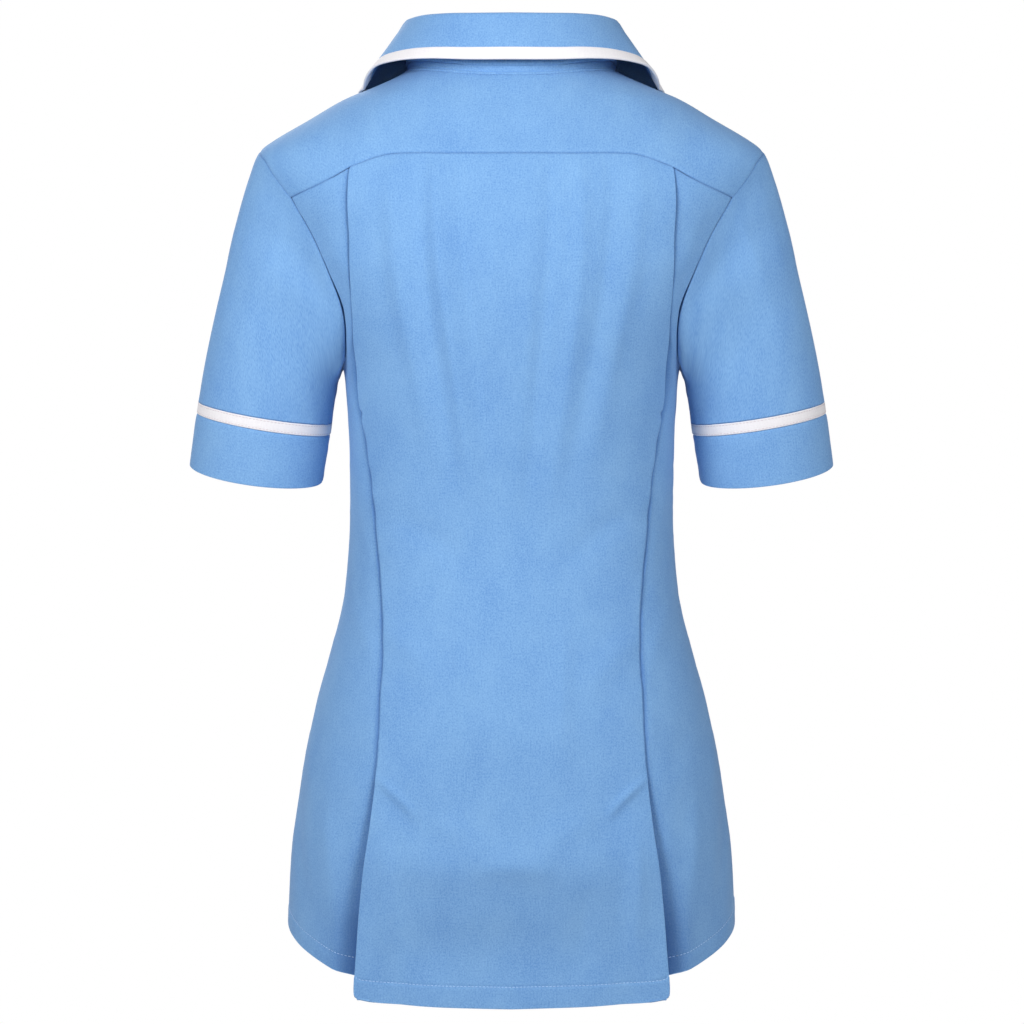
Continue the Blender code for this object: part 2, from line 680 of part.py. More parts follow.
def make_collar(look, white, collection):
    """The turned collar and the binding round its edge."""
    half = neck_yoke + neck_front[1:]
    known = shares_along(half)
    spots = [body_place(*place) for place in half]
    columns = []
    for i, (base, share) in enumerate(zip(spots, known)):
        after = spots[min(i + 1, len(spots) - 1)]
        before = spots[i - 1] if i else Vector((-spots[1].x, spots[1].y, spots[1].z))
        along = Vector((after.x - before.x, after.y - before.y, 0)).normalized()
        outward = Vector((-along.y, along.x, 0))
        swing = ACROSS * (POINT_SWING * ease((share - POINT_START) / (1 - POINT_START)))
        columns.append(collar_column(base, outward, share, swing))
    last = columns[-1]
    inner = columns[-2]
    bound_line = []
    for end, near in zip(last, inner):
        bound_line.append(end.lerp(near, min(BINDING / (end - near).length, BINDING_LARGEST_SHARE)))
    columns[-1:] = [bound_line, last]
    other = [[Vector((-p.x, p.y, p.z)) for p in column] for column in columns[:0:-1]]
    columns = other + columns
    rows = len(columns[0])
    points = {(j, i): point for i, column in enumerate(columns) for j, point in enumerate(column)}
    cells = cells_of(rows, len(columns))
    last_column = len(columns) - 2

    def bound(cell):
        row = min(j for j, _ in cell)
        column = min(i for _, i in cell)
        return row == rows - 2 or column in (0, last_column)

    sheet("collar", points, [cell for cell in cells if not bound(cell)], look, collection)
    sheet("collar_binding", points, [cell for cell in cells if bound(cell)], white, collection,
          border=BINDING_BORDER)


def make_button(name, level, look, collection):
    """A turned button with a raised rim, seated on the right front."""
    profile = (
        (0, 0), (BUTTON_RADIUS - BUTTON_ROUND, 0), (BUTTON_RADIUS, BUTTON_ROUND),
        (BUTTON_RADIUS, BUTTON_THICK - BUTTON_ROUND), (BUTTON_RADIUS - BUTTON_ROUND, BUTTON_THICK),
        (BUTTON_RADIUS - BUTTON_RIM, BUTTON_THICK),
        (BUTTON_RADIUS - BUTTON_RIM - BUTTON_ROUND, BUTTON_THICK - BUTTON_DISH),
        (0, BUTTON_THICK - BUTTON_DISH),
    )
    bm = bmesh.new()
    rim = [bm.verts.new((radius * MM, 0, height * MM)) for radius, height in profile]
    for start, end in zip(rim, rim[1:]):
        bm.edges.new((start, end))
    mesh = bpy.data.meshes.new(name)
    bm.to_mesh(mesh)
    bm.free()
    mesh.materials.append(look)
    button = bpy.data.objects.new(name, mesh)
    collection.objects.link(button)
    turned = button.modifiers.new("turned", "SCREW")
    turned.steps = BUTTON_STEPS
    turned.render_steps = BUTTON_STEPS
    turned.use_merge_vertices = True
    turned.merge_threshold = MERGE
    turned.use_normal_calculate = True
    normal = body_normal(math.pi, level)
    seat = on_body(math.pi, level, BUTTON_SEAT)
    button.location = seat * MM
    button.rotation_euler = normal.to_track_quat("Z", "Y").to_euler()


def main():
    for old in list(bpy.data.objects):
        bpy.data.objects.remove(old, do_unlink=True)
    tunic = bpy.data.collections.new("medical_tunic")
    bpy.context.scene.collection.children.link(tunic)
    blue = material("cloth_blue", *CLOTH_BLUE)
    white = material("binding_white", *BINDING_WHITE)
    plastic = material("button_white", *BUTTON_WHITE)
    make_yoke(blue, tunic)
    make_back_centre(blue, tunic)
    make_collar(blue, white, tunic)
    for side, mirror in (("left", False), ("right", True)):
        make_side_back(f"back_side_{side}", blue, tunic, mirror)
        make_front(f"front_{side}", blue, tunic, mirror, under=not mirror)
        make_sleeve(side, blue, white, tunic, mirror)
    for number in range(BUTTON_COUNT):
        level = front_levels[FIRST_BUTTON_ROW + number * BUTTON_ROWS_APART]
        make_button(f"button_{number + 1}", level, plastic, tunic)


main()
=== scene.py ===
"""A short-sleeved medical tunic, filled out as worn and seen from behind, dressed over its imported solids.

Sizes are millimetres in the garment's own frame: the origin is the middle of the neck, the back faces +Y and the
wearer's left is +X. A panel is a grid of points between its seams. Its rows run down the cloth and its columns run
round the body from the wearer's right over the back to the left, so that column x row points out of the cloth.
"""

import math

import bmesh
import bpy
import numpy as np
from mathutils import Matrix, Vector


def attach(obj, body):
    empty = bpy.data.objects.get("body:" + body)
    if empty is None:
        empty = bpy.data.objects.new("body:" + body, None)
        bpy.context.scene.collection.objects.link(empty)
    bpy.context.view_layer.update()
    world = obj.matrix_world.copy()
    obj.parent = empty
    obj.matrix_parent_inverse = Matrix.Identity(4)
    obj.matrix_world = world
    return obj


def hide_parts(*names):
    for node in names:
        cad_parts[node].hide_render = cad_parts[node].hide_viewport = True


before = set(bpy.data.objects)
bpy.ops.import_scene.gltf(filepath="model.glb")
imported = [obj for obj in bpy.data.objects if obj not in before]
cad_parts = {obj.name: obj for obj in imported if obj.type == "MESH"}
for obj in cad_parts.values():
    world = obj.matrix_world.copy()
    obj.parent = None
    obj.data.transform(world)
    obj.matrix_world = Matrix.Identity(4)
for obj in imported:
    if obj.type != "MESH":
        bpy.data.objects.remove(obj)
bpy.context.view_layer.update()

MM = 0.001
BODY = "root"

# Level sections of the body: how wide and deep the cloth stands, and how square its corners are.
BODY_SECTIONS = (
    # level, half_width, back_depth, front_depth, back_power, front_power
    (10, 66, 57, 33, 2, 2), (1.8, 82.7, 64, 39, 2, 2), (-3, 92, 68, 43, 2, 2),
    (-12, 112.5, 75, 49, 2, 2), (-21.5, 135, 81, 54, 2, 2), (-37.5, 162, 90, 61, 2, 2),
    (-53.4, 189, 97.5, 68, 2, 2), (-61.5, 200, 101, 72, 2, 2), (-70, 206, 104.5, 76.5, 2, 2),
    (-84, 204, 109, 84, 2.1, 2.1), (-104, 193, 113.5, 94, 2.2, 2.1), (-130, 179, 117.5, 106, 2.2, 2.2),
    (-156, 167, 119, 116, 2.3, 2.2), (-182, 155, 118, 125, 2.3, 2.3), (-206, 144.5, 115.5, 131, 2.3, 2.4),
    (-236, 134.8, 110.5, 133, 2.3, 2.5), (-262, 132.3, 106, 129, 2.3, 2.5), (-294, 130.7, 101, 119, 2.2, 2.4),
    (-326, 130, 95.5, 108, 2.2, 2.3), (-358, 130, 92, 99, 2.2, 2.2), (-391, 131.7, 93, 98, 2.2, 2.2),
    (-423, 135, 97.5, 102, 2.2, 2.2), (-455, 142.7, 104, 107, 2.2, 2.2), (-488, 152, 111, 112, 2.2, 2.2),
    (-520, 160, 117, 116, 2.2, 2.2), (-552, 166.7, 119.5, 119, 2.3, 2.2), (-585, 171.6, 122.5, 121, 2.3, 2.3),
    (-617, 176.5, 124, 122.5, 2.3, 2.3), (-650, 179, 121.5, 123.5, 2.3, 2.3), (-694, 180.5, 115, 124.5, 2.3, 2.3),
    (-740, 180.5, 107, 125, 2.3, 2.3),
)

# Seams and edges of the wearer's left half, each row a point across and its level.
NECK_BACK = ((0, -4.4), (30, -3.6), (55, -0.9), (72, 1.0), (82.7, 1.8))
NECK_FRONT = ((80.5, -4), (76, -17), (68, -34), (55, -51), (36, -66), (14, -76), (3, -78))
SHOULDER_SEAM = (NECK_FRONT[0], (125, -22.5), (165, -46), (198, -68))
YOKE_SEAM_CENTRE = ((0, -68), (45, -68), (87, -67.8), (105, -70.5), (126, -78))
YOKE_SEAM_SIDE = ((126, -78), (142, -87), (158, -94.5), (174.4, -101.5))
ARMHOLE_YOKE = ((174.4, -101.5), (188, -84), (197, -70), (200, -61.5))
ARMHOLE_BACK = ((174.4, -101.5), (159.8, -126.8), (147.8, -152), (139.5, -172), (133.9, -188),
                (131.7, -201), (131.4, -216), (132.6, -229), (134.8, -236))
ARMHOLE_FRONT = ((198, -68), (190, -80), (177, -98), (163, -118), (150, -140), (140, -162), (133.5, -182),
                 (130, -198), (129, -214), (131, -228), (134.8, -236))
PLEAT_LINE = ((126, -78), (127.7, -97), (127, -122), (126, -157), (124, -192), (122.6, -221), (120.4, -259),
              (114.6, -297), (110.8, -327), (105.8, -379), (101.4, -434), (101.4, -463), (104, -514),
              (105.6, -553), (108.4, -583), (112.7, -617), (119.4, -686), (121.6, -724), (120.4, -728.6))
BACK_HEM = ((0, -737), (56, -736), (93, -734), (115, -731.4), (120.4, -728.6))
SIDE_HEM = ((123.5, -717.5), (142, -709.5), (157, -702), (168, -695.5), (176, -688.5), (180.3, -679))
FRONT_HEM = ((180.3, -679), (172, -692), (140, -708), (90, -719), (40, -724), (0, -725), (-18, -725))
SEAM_STEPS = 12

# The wall of one layer of cloth, and how the cloth sinks and puckers at a seam.
CLOTH = 0.55
SEAM_DEPTH = 0.8
SEAM_REACH = 0.8
YOKE_SEAM = 0.65
NECK_SEAM = 1.6
SEAM_MARKS = (0, 0.35, 0.7, 1.1, 1.7, 2.6, 4.4, 7.5)
TIP_MARKS = (0, 0.7, 1.6, 3, 5)
PLAIN_END = (0,)
ALLOWANCE = 9
RIDGE_FADE = 26
ALLOWANCE_HEIGHT = 0.3
PUCKER_PITCH = 7
PUCKER_REACH = 6
PUCKER_HEIGHT = 0.28

# Hems are turned up once and stitched.
HEM_MARKS = (0, 0.5, 1.2, 3, 7, 11, 13, 14.2, 15.2, 16, 16.6, 17.2, 18, 19.2, 21, 25)
HEM_BEND = 0.6
BACK_HEM_DEPTH = 17
SIDE_HEM_DEPTH = 14
STITCH_DEPTH = 0.4
STITCH_REACH = 0.8
STITCH_PUCKER = 0.16
STITCH_PUCKER_REACH = 4
HEM_LAYER = 0.3
HEM_TURNING = 1.5
CORNER_LAYERS = 0.6
BEND_ANGLES = (30, 60, 90, 120, 150, 180)
CORNER_BEND = 0.1
CORNER_REACH = 5

# The action pleats and the vents: how the edge of the centre back stands off, bends and runs back under itself.
PLEAT_EDGE = (
    # level, lift, bend, depth of the return, depth of the side back below, reach of its rise, painted shade in the
    # gap beside the edge
    (-70, 0, 0.3, 18, 0.9, 3, 0.3), (-84, 0.1, 0.4, 18, 1.6, 4, 0.45), (-100, 0.4, 0.6, 18, 2.2, 5, 0.5),
    (-120, 0.8, 0.7, 18, 2.8, 6, 0.45), (-150, 1.1, 0.8, 18, 3.6, 7, 0.5), (-175, 1.3, 0.8, 18, 5, 10, 0.9),
    (-200, 1.3, 0.8, 18, 5.6, 12, 0.95), (-240, 1.2, 0.8, 16, 5.6, 12, 0.95), (-262, 0.8, 0.6, 8, 4.2, 7, 0.9),
    (-278, 0.5, 0.5, 6, 3.4, 3.6, 0.75), (-300, 0.4, 0.5, 6, 3.2, 2.8, 0.75), (-420, 0.3, 0.5, 6, 2.8, 2.6, 0.75),
    (-540, 0.3, 0.5, 6, 2.8, 2.8, 0.7), (-556, 1, 0.5, 12, 3.4, 4, 0.55), (-600, 2.6, 0.6, 14, 7, 12, 0.3),
    (-640, 3.8, 0.6, 14, 9, 18, 0.4), (-680, 5, 0.6, 14, 11, 24, 0.8), (-740, 6, 0.6, 14, 13, 26, 0.9),
)
LIFT_REACH = 38
VENT_TOP = -553
PLEAT_BOTTOM = -262
ROLL_DEPTH = 0.45
ROLL_REACH = 1
EDGE_PUCKER = 0.7
UNDER_PLEAT_PUCKER = 0.8
# The tack that closes a pleat: its level, half-height, reach and depth.
TACK = (-272, 2.4, 3.5, 1.4)
UNDERLAY = (26, 20, 14, 8.5, 4.5, 2, 0.8)

# The fronts lap at the middle, the right one over the left one.
OVERLAP = 18
UNDERLAP_DEPTH = 2.6
UNDERLAP_REACH = 18.5
UNDERLAP_FADE = 8
FACING = 34
EDGE_STITCH = 6

# Buttons and buttonholes on the front.
BUTTON_ROW_CELLS = 18
BUTTON_COUNT = 6
FIRST_BUTTON_ROW = 1
BUTTON_ROWS_APART = 3
BUTTON_SEAT = 0.5
# The button's half section, from its back over the rim to the dished middle: radius and height.
BUTTON_PROFILE = ((0, 0), (7.2, 0), (8.1, 0.3), (8.5, 1), (8.4, 1.9), (7.9, 2.45), (7.3, 2.6), (6.7, 2.45),
                  (6.2, 2), (5.4, 1.75), (0, 1.7))
HOLE_PLACE = 1.6
HOLE_RADIUS = 0.85
BUTTON_THREAD = 0.3
BUTTONHOLE = (21, 4.2)
BUTTONHOLE_STITCHES = 64
HOLE_THREAD = 0.24

# The short sleeves: rings of the left sleeve, each tilted as the arm hangs.
SLEEVE_RINGS = {
    # across, along, level, half_width, half_depth, side_tilt, back_drop
    "band_top": (198.5, -8.0, -271.8, 54.3, 47.0, 9.3, 5.2),
    "band_bottom": (199.8, -9.0, -280.6, 54.3, 47.0, 9.3, 5.8),
    "cuff_bottom": (206.2, -13.0, -320.4, 53.8, 46.5, 7.5, 11.0),
}
SLEEVE_START_PULL = 60
SLEEVE_END_PULL = 150
UNDERARM_CLEARANCE = 0.4
UNDERARM_SPRING = 0.12
BAND_RAISE = 0.4
BAND_WALL = 0.4
BAND_STITCH = 1.5
BAND_PUCKER = 0.25
BAND_PUCKER_INNER = 0.5
CUFF_TURNING = 36

# The turned collar, from the middle of the back (0) to the middle of the front (1).
COLLAR_SECTIONS = (
    # share, rise of the stand, its lean inward, spread of the fall, its drop, push of its belly
    (0, 47.9, 8, 17, 33.4, 1.5), (0.12, 47, 8, 19.5, 33.2, 1), (0.24, 44.3, 7, 26, 32.2, -0.5),
    (0.32, 42.4, 6, 33, 33.4, -1.5), (0.36, 41.4, 5.3, 37.5, 36, -1), (0.4, 40.7, 4.6, 39.8, 44, 0),
    (0.45, 40, 4, 40, 53, 1), (0.55, 38, 3.5, 41, 62, 3), (0.66, 35, 3, 42, 68, 3),
    (0.8, 27, 1, 44, 68, 3), (1, 12, -2, 36, 50, 2),
)
COLLAR_FOLD_WIDTH = 7.5
COLLAR_FOLD_RISE = 3.2
FALL_START = 0.08
COLLAR_CLEARANCE = 2.2
OUTWARD_REACH = 14
COLLAR_WALL = 1.2
CLEARING_MOVES = 4
POINT_SWING = 26
POINT_START = 0.7
BINDING_RAISE = 0.45
BINDING_WALL = 0.35
# The face of the binding: how far in from the collar's edge each row lies, and how high.
BINDING_ROWS = ((9.5, 0.05), (9.2, 0.3), (8.7, 0.33), (8, 0.45), (6, 0.45), (4, 0.45), (2, 0.45), (1, 0.45),
                (0.4, 0.405))
NECK_STRIP = 7
STRIP_HEIGHT = 2.1
STRIP_PUCKER = 0.9
STRIP_STITCHES = (1.6, 5.5)
NECK_TUCK = 1.6

# Soft folds. A row gives the start across and level, the end, the height, the half-width and the bow to the side.
# A pair comes again, mirrored, on the right.
BACK_FOLDS = (
    (80, -40, 64, -310, 2.5, 9, 2), (53, -40, 31, -340, 3.0, 9, 2),
    (62, -40, 44, -330, -2.4, 9, 2), (35, -40, 11, -370, -2.8, 9, -2),
    (-46, -40, -29, -360, 2.1, 9, 2), (-86, -40, -63, -320, 1.4, 9, -2),
    (-26, -40, -10, -370, -2.0, 9, 2), (-68, -40, -47, -330, -1.4, 8, -2),
    (12, -95, 15, -250, 0.5, 5, 1), (-12, -110, -14, -280, 0.4, 5, -1),
    (118, -628, -118, -630, 4.6, 20, 8), (124, -700, -124, -700, -7.0, 34, 5),
    (26, -624, -34, -626, 2.0, 9, 3),
    (100, -440, 58, -486, 1.5, 11, 5), (-100, -446, -56, -494, 1.5, 11, -5),
    (95, -355, 30, -392, -1.5, 12, 4), (-95, -350, -34, -396, -1.5, 12, -4),
    (40, -430, 34, -560, 1.6, 11, 2), (-42, -430, -36, -570, 1.4, 11, -2),
)
BACK_PAIRS = (
    (107, -556, 74, -586, 2.6, 2.8, 2), (110, -574, 66, -606, -0.8, 8, 4), (66, -590, 20, -612, 2.2, 12, 5),
    (96, -600, 98, -715, 2.2, 8, 2), (56, -640, 60, -720, -1.8, 12, 2),
)
YOKE_FOLDS = ((0, -12, 0, -60, -0.7, 16, 0),)
YOKE_PAIRS = ((60, -20, 10, -58, 0.9, 13, 4), (96, -18, 118, -70, 0.7, 12, 3), (150, -50, 128, -78, -0.7, 9, 2))
SIDE_FOLDS = (
    (150, -110, 136, -165, 1.0, 9, 2), (140, -150, 128, -215, -0.8, 7, 2),
    (126, -250, 112, -330, -0.9, 8, 2), (124, -330, 108, -400, 0.7, 8, 0),
    (128, -420, 104, -470, 0.9, 8, 3), (140, -520, 116, -560, -0.7, 10, 0),
    (146, -560, 134, -700, 1.8, 9, 3), (168, -570, 156, -690, -1.4, 9, 2), (160, -480, 150, -620, 1.0, 9, 2),
)
FRONT_FOLDS = (
    (150, -120, 80, -190, 2.2, 11, 5), (140, -160, 84, -216, -1.8, 10, 5),
    (120, -240, 70, -330, -1.8, 13, 4), (60, -260, 50, -400, 1.7, 13, -3),
    (112, -350, 60, -420, 2.0, 12, 4), (110, -420, 66, -470, -1.6, 12, 4),
    (70, -480, 78, -710, 3.0, 15, 4), (118, -500, 130, -700, 2.8, 14, 5), (96, -520, 104, -705, -2.2, 11, 4),
    (44, -520, 48, -715, -1.8, 12, 2),
)
# Folds of the sleeve: the start turn in degrees and distance down it, then the end, height, half-width and bow.
SLEEVE_FOLDS = (
    (128, 12, 30, 96, 1.5, 12, 6), (110, 8, 4, 70, -1.1, 11, 6), (150, 30, 60, 128, -1.2, 12, 5),
    (96, 84, 24, 150, 1.0, 13, 4), (60, 20, 10, 40, 0.8, 12, 0), (20, 70, -20, 160, -0.9, 15, 3),
    (-60, 10, -20, 100, 1.2, 13, -5), (-110, 12, -50, 110, -1.2, 12, -6), (-140, 20, -80, 130, 1.1, 12, -5),
    (170, 20, 140, 60, 0.9, 7, 0), (-170, 22, -140, 60, 0.9, 7, 0),
)
SLEEVE_CHART_RADIUS = 54
FOLD_CHART_RADIUS = 150
WANDER = 0.5
WANDER_SIZE = 46

# Painted shade along the seams, beside the pleat edges and at the pleat's tack: its strength and half-width.
YOKE_PAINTED_SHADE = (0.3, 0.9)
NECK_PAINTED_SHADE = (0.5, 1.4)
PANEL_PAINTED_SHADE = (0.25, 0.9)
PLEAT_PAINTED_SHADE = (0.55, 0.7)
TACK_PAINTED_SHADE = (0.7, 1.6)
SIDE_PAINTED_SHADE = (0.2, 0.9)
ARMHOLE_PAINTED_SHADE = (0.4, 0.9)
BAND_PAINTED_SHADE = (0.4, 0.6)

# The weave's unevenness: width and length of its spots and their detail, for warp, weft, grain and mottle.
WEAVE_SPOTS = ((1.4, 11, 2), (12, 1.5, 2), (1.2, 1.4, 1), (34, 52, 3))
WEFT_SHARE = 0.4
MOTTLE_SHARE = 0.24

# Sewing thread, at its real size.
STITCH_PITCH = 2.9
STITCH_LENGTH = 2.1
THREAD = 0.26
THREAD_SINK = 0.06
# The rings of a stitch: share of its length, thickness and rise, as shares of the thread's.
STITCH_RINGS = ((-0.5, 0.45, -0.6), (-0.28, 1, 0.3), (0.28, 1, 0.3), (0.5, 0.45, -0.6))

# The studio, in metres.
FLOOR_LEVEL = -1.45
FLOOR_RADIUS = 3.2
FLOOR_GLOW = 0.08
SURROUND_BELOW = 0.14
SURROUND_ABOVE = 0.28
LIGHTS = (
    # name, place, aim, size, power
    ("key_left", (0.95, 1.3, 0.42), (0, 0, -0.15), 0.8, 19.6),
    ("key_right", (-0.95, 1.3, 0.42), (0, 0, -0.15), 0.8, 13.4),
    ("back_fill", (0.0, 2.4, 0.0), (0, 0, -0.3), 0.6, 3),
    ("front_fill", (0.7, -2.0, 0.8), (0, 0, -0.3), 1.2, 26),
)

# The photograph's camera: level with the middle of the back, tipped down a little, in its 1024 pixel frame.
CAMERA_DISTANCE = 3.3
CAMERA_DROP = math.radians(2.5)
CAMERA_TARGET = (0, 0, -0.352)
PHOTO_PIXELS = 1024
FOCAL_PIXELS = 4099
SENSOR = 36
LENS_SHIFT = 0.0005


def ease(t):
    """A soft step from 0 to 1."""
    t = np.clip(t, 0.0, 1.0)
    return t * t * (3 - 2 * t)


def bell(away, reach):
    """A soft bump: 1 in the middle and nearly nothing at twice its reach."""
    return np.exp(-(away / reach) ** 2)


def unit(vectors):
    """The same directions with a length of 1."""
    return vectors / np.maximum(np.linalg.norm(vectors, axis=-1, keepdims=True), 1e-9)


def smooth_table(rows):
    """Reads rows of (key, value, ...) as smooth curves that pass through every row."""
    rows = np.array(sorted(rows), float)
    keys = rows[:, 0]
    values = rows[:, 1:]
    numbers = np.arange(len(keys))
    before = np.maximum(numbers - 1, 0)
    after = np.minimum(numbers + 1, len(keys) - 1)
    slopes = (values[after] - values[before]) / (keys[after] - keys[before])[:, None]

    def read(key):
        key = np.clip(np.asarray(key, float), keys[0], keys[-1])
        i = np.clip(np.searchsorted(keys, key, side="right"), 1, len(keys) - 1) - 1
        span = (keys[i + 1] - keys[i])[..., None]
        t = (key - keys[i])[..., None] / span
        return ((1 + 2 * t) * (1 - t) ** 2 * values[i] + t * (1 - t) ** 2 * span * slopes[i]
                + t * t * (3 - 2 * t) * values[i + 1] + t * t * (t - 1) * span * slopes[i + 1])

    return read


body_section = smooth_table(BODY_SECTIONS)
collar_section = smooth_table(COLLAR_SECTIONS)


def pleat_edge(level, column):
    """Reads one column of the pleat's table at the given levels."""
    rows = sorted(PLEAT_EDGE)
    return np.interp(level, [row[0] for row in rows], [row[column] for row in rows])


def body_place(angle, level):
    """Points of the body's surface. The angle is 0 at the middle of the back and grows toward the left side."""
    width, back, front, back_power, front_power = np.moveaxis(body_section(level), -1, 0)
    along = np.cos(angle)
    depth = np.where(along > 0, back, front)
    power = np.where(along > 0, back_power, front_power)
    radius = ((np.abs(np.sin(angle)) / width) ** power + (np.abs(along) / depth) ** power) ** (-1 / power)
    return np.stack([radius * np.sin(angle), radius * along, level + 0 * radius], -1)


def on_body(spots):
    """Points of the body's surface at an array of (angle, level) places."""
    return body_place(spots[..., 0], spots[..., 1])


def body_normal(angle, level):
    """Directions straight out of the body's surface."""
    turn = 0.01
    rise = 1.0
    round_body = body_place(angle + turn, level) - body_place(angle - turn, level)
    up_body = body_place(angle, level + rise) - body_place(angle, level - rise)
    return unit(np.cross(up_body, round_body))


def angle_at(across, level, front=False):
    """The angle of the point of the surface that lies this far across at this level."""
    width, back, front_depth, back_power, front_power = body_section(level)
    depth, power = (front_depth, front_power) if front else (back, back_power)
    share = min(abs(across) / width, 1.0)
    along = depth * (1 - share ** power) ** (1 / power)
    angle = math.atan2(across, -along if front else along)
    return angle + 2 * math.pi if front and across < 0 else angle


def seam(points, front=False):
    """A smooth line of (angle, level) places through points given across and by level."""
    knots = np.array([(angle_at(across, level, front), level) for across, level in points])
    knots = np.concatenate([knots[:1], knots, knots[-1:]])
    t = (np.arange(SEAM_STEPS) / SEAM_STEPS)[:, None]
    line = []
    for a, b, c, d in zip(knots, knots[1:], knots[2:], knots[3:]):
        line.append(0.5 * (2 * b + (c - a) * t + (2 * a - 5 * b + 4 * c - d) * t * t
                           + (3 * b - a - 3 * c + d) * t ** 3))
    return np.concatenate(line + [knots[-1:]])


def shares_along(line):
    """The share of the line's real length at each of its places."""
    steps = np.linalg.norm(np.diff(on_body(line), axis=0), axis=1)
    total = np.concatenate([[0], np.cumsum(steps)])
    return total / total[-1]


def places(line, shares):
    """The places of a line at the given shares of its length."""
    known = shares_along(line)
    return np.stack([np.interp(shares, known, line[:, 0]), np.interp(shares, known, line[:, 1])], 1)


def at_levels(line, levels):
    """The places where a line that runs down the body passes the given levels."""
    return np.stack([np.interp(-levels, -line[:, 1], line[:, 0]), levels], 1)


def mirrored(line):
    """The same places on the other side of the body, in the opposite order."""
    return line[::-1] * (-1, 1)


def joined(*lines):
    """Lines that follow each other, without the places that they share."""
    return np.concatenate([lines[0]] + [line[1:] for line in lines[1:]])


def graded(length, count, first=PLAIN_END, last=PLAIN_END):
    """Shares of a line of this length: narrow cells at the marks from each end, even cells between."""
    start = np.array(first, float)
    stop = length - np.array(last, float)[::-1]
    middle = np.linspace(start[-1], stop[0], count - len(start) - len(stop) + 3)[1:-1]
    return np.concatenate([start, middle, stop]) / length


def fill(top, bottom, left, right):
    """A grid of (angle, level) places between four lines that meet at the corners."""
    v = ((shares_along(left) + shares_along(right)) / 2)[:, None, None]
    u = ((shares_along(top) + shares_along(bottom)) / 2)[None, :, None]
    return ((1 - v) * top + v * bottom + (1 - u) * left[:, None] + u * right[:, None]
            - (1 - u) * (1 - v) * top[0] - u * (1 - v) * top[-1] - (1 - u) * v * bottom[0] - u * v * bottom[-1])


def run(points, axis):
    """How far each point of a grid lies from its first row or column, along the cloth."""
    steps = np.linalg.norm(np.diff(points, axis=axis), axis=-1)
    start = np.zeros_like(np.take(steps, [0], axis=axis))
    return np.concatenate([start, np.cumsum(steps, axis=axis)], axis=axis)


def from_edges(points):
    """Distances of every point of a grid from its top, bottom, left and right edges."""
    down = run(points, 0)
    side = run(points, 1)
    return down, down[-1:] - down, side, side[:, -1:] - side


def grid_normals(points):
    """Outward directions of a grid, from its neighbours."""
    return unit(np.cross(np.gradient(points, axis=1), np.gradient(points, axis=0)))


def at_distance(values, distances, wanted):
    """The values of each column of a grid at a wanted distance, where distances grow down the rows."""
    found = np.empty(values.shape[1:])
    for column in range(values.shape[1]):
        for k in range(values.shape[2]):
            found[column, k] = np.interp(wanted[column], distances[:, column], values[:, column, k])
    return found


def wander(u, v, size_u, size_v, seed):
    """Smooth seeded unevenness from -1 to 1 over two lengths."""
    table = np.random.default_rng(seed).uniform(-1, 1, (64, 64))
    x = u / size_u
    y = v / size_v
    i = np.floor(x).astype(int)
    j = np.floor(y).astype(int)
    fx = ease(x - i)
    fy = ease(y - j)

    def corner(a, b):
        return table[(i + a) % 64, (j + b) % 64]

    return ((corner(0, 0) * (1 - fx) + corner(1, 0) * fx) * (1 - fy)
            + (corner(0, 1) * (1 - fx) + corner(1, 1) * fx) * fy)


def both_sides(rows):
    """Folds of the left side with their mirrored twins."""
    return rows + tuple((-x0, z0, -x1, z1, rise, width, -bow) for x0, z0, x1, z1, rise, width, bow in rows)


def folds(rows, u, v):
    """Adds up soft folds over a chart of the cloth."""
    height = np.zeros_like(u)
    for u0, v0, u1, v1, rise, half_width, bow in rows:
        du = u1 - u0
        dv = v1 - v0
        length = math.hypot(du, dv)
        t = ((u - u0) * du + (v - v0) * dv) / length ** 2
        inside = np.clip(t, 0, 1)
        aside = ((u - u0) * dv - (v - v0) * du) / length - bow * 4 * inside * (1 - inside)
        fade = np.sin(np.pi * inside) ** 0.8
        spread = half_width * (0.8 + 0.4 * inside)
        height += rise * fade * bell(aside, spread)
    return height


def body_folds(rows, angle, level, front=False):
    """Folds given by points across and by level, drawn on the body."""
    drawn = []
    for x0, z0, x1, z1, *shape in rows:
        start = angle_at(x0, z0, front) * FOLD_CHART_RADIUS
        end = angle_at(x1, z1, front) * FOLD_CHART_RADIUS
        drawn.append((start, z0, end, z1, *shape))
    return folds(drawn, angle * FOLD_CHART_RADIUS, level)


def seam_relief(away, along, seed, allowance=False):
    """The line that a seam sinks into the cloth, its puckers, and the allowance that lies under one side."""
    out = -SEAM_DEPTH * bell(away, SEAM_REACH)
    out = out + PUCKER_HEIGHT * bell(away, PUCKER_REACH) * wander(along, away, PUCKER_PITCH, 40, seed)
    if allowance:
        out = out + ALLOWANCE_HEIGHT * (ease((away - 1) / 2) - ease((away - ALLOWANCE) / 3))
    return out


def stitch_relief(away, at, along, seed):
    """The shallow groove of a row of stitches and the small puckers beside it."""
    pucker = STITCH_PUCKER * bell(away - at, STITCH_PUCKER_REACH) * wander(along, away, 5, 30, seed)
    return pucker - STITCH_DEPTH * bell(away - at, STITCH_REACH)


def hem_relief(hem, depth, along, seed):
    """The stitched line of a hem, and the second layer that lifts the cloth below it."""
    return stitch_relief(hem, depth, along, seed) + HEM_LAYER * ease((depth - hem) / 2)


def uneven(angle, level, seed):
    """The faint unevenness of washed cloth."""
    return WANDER * wander(angle * FOLD_CHART_RADIUS, level, WANDER_SIZE, WANDER_SIZE * 1.6, seed)


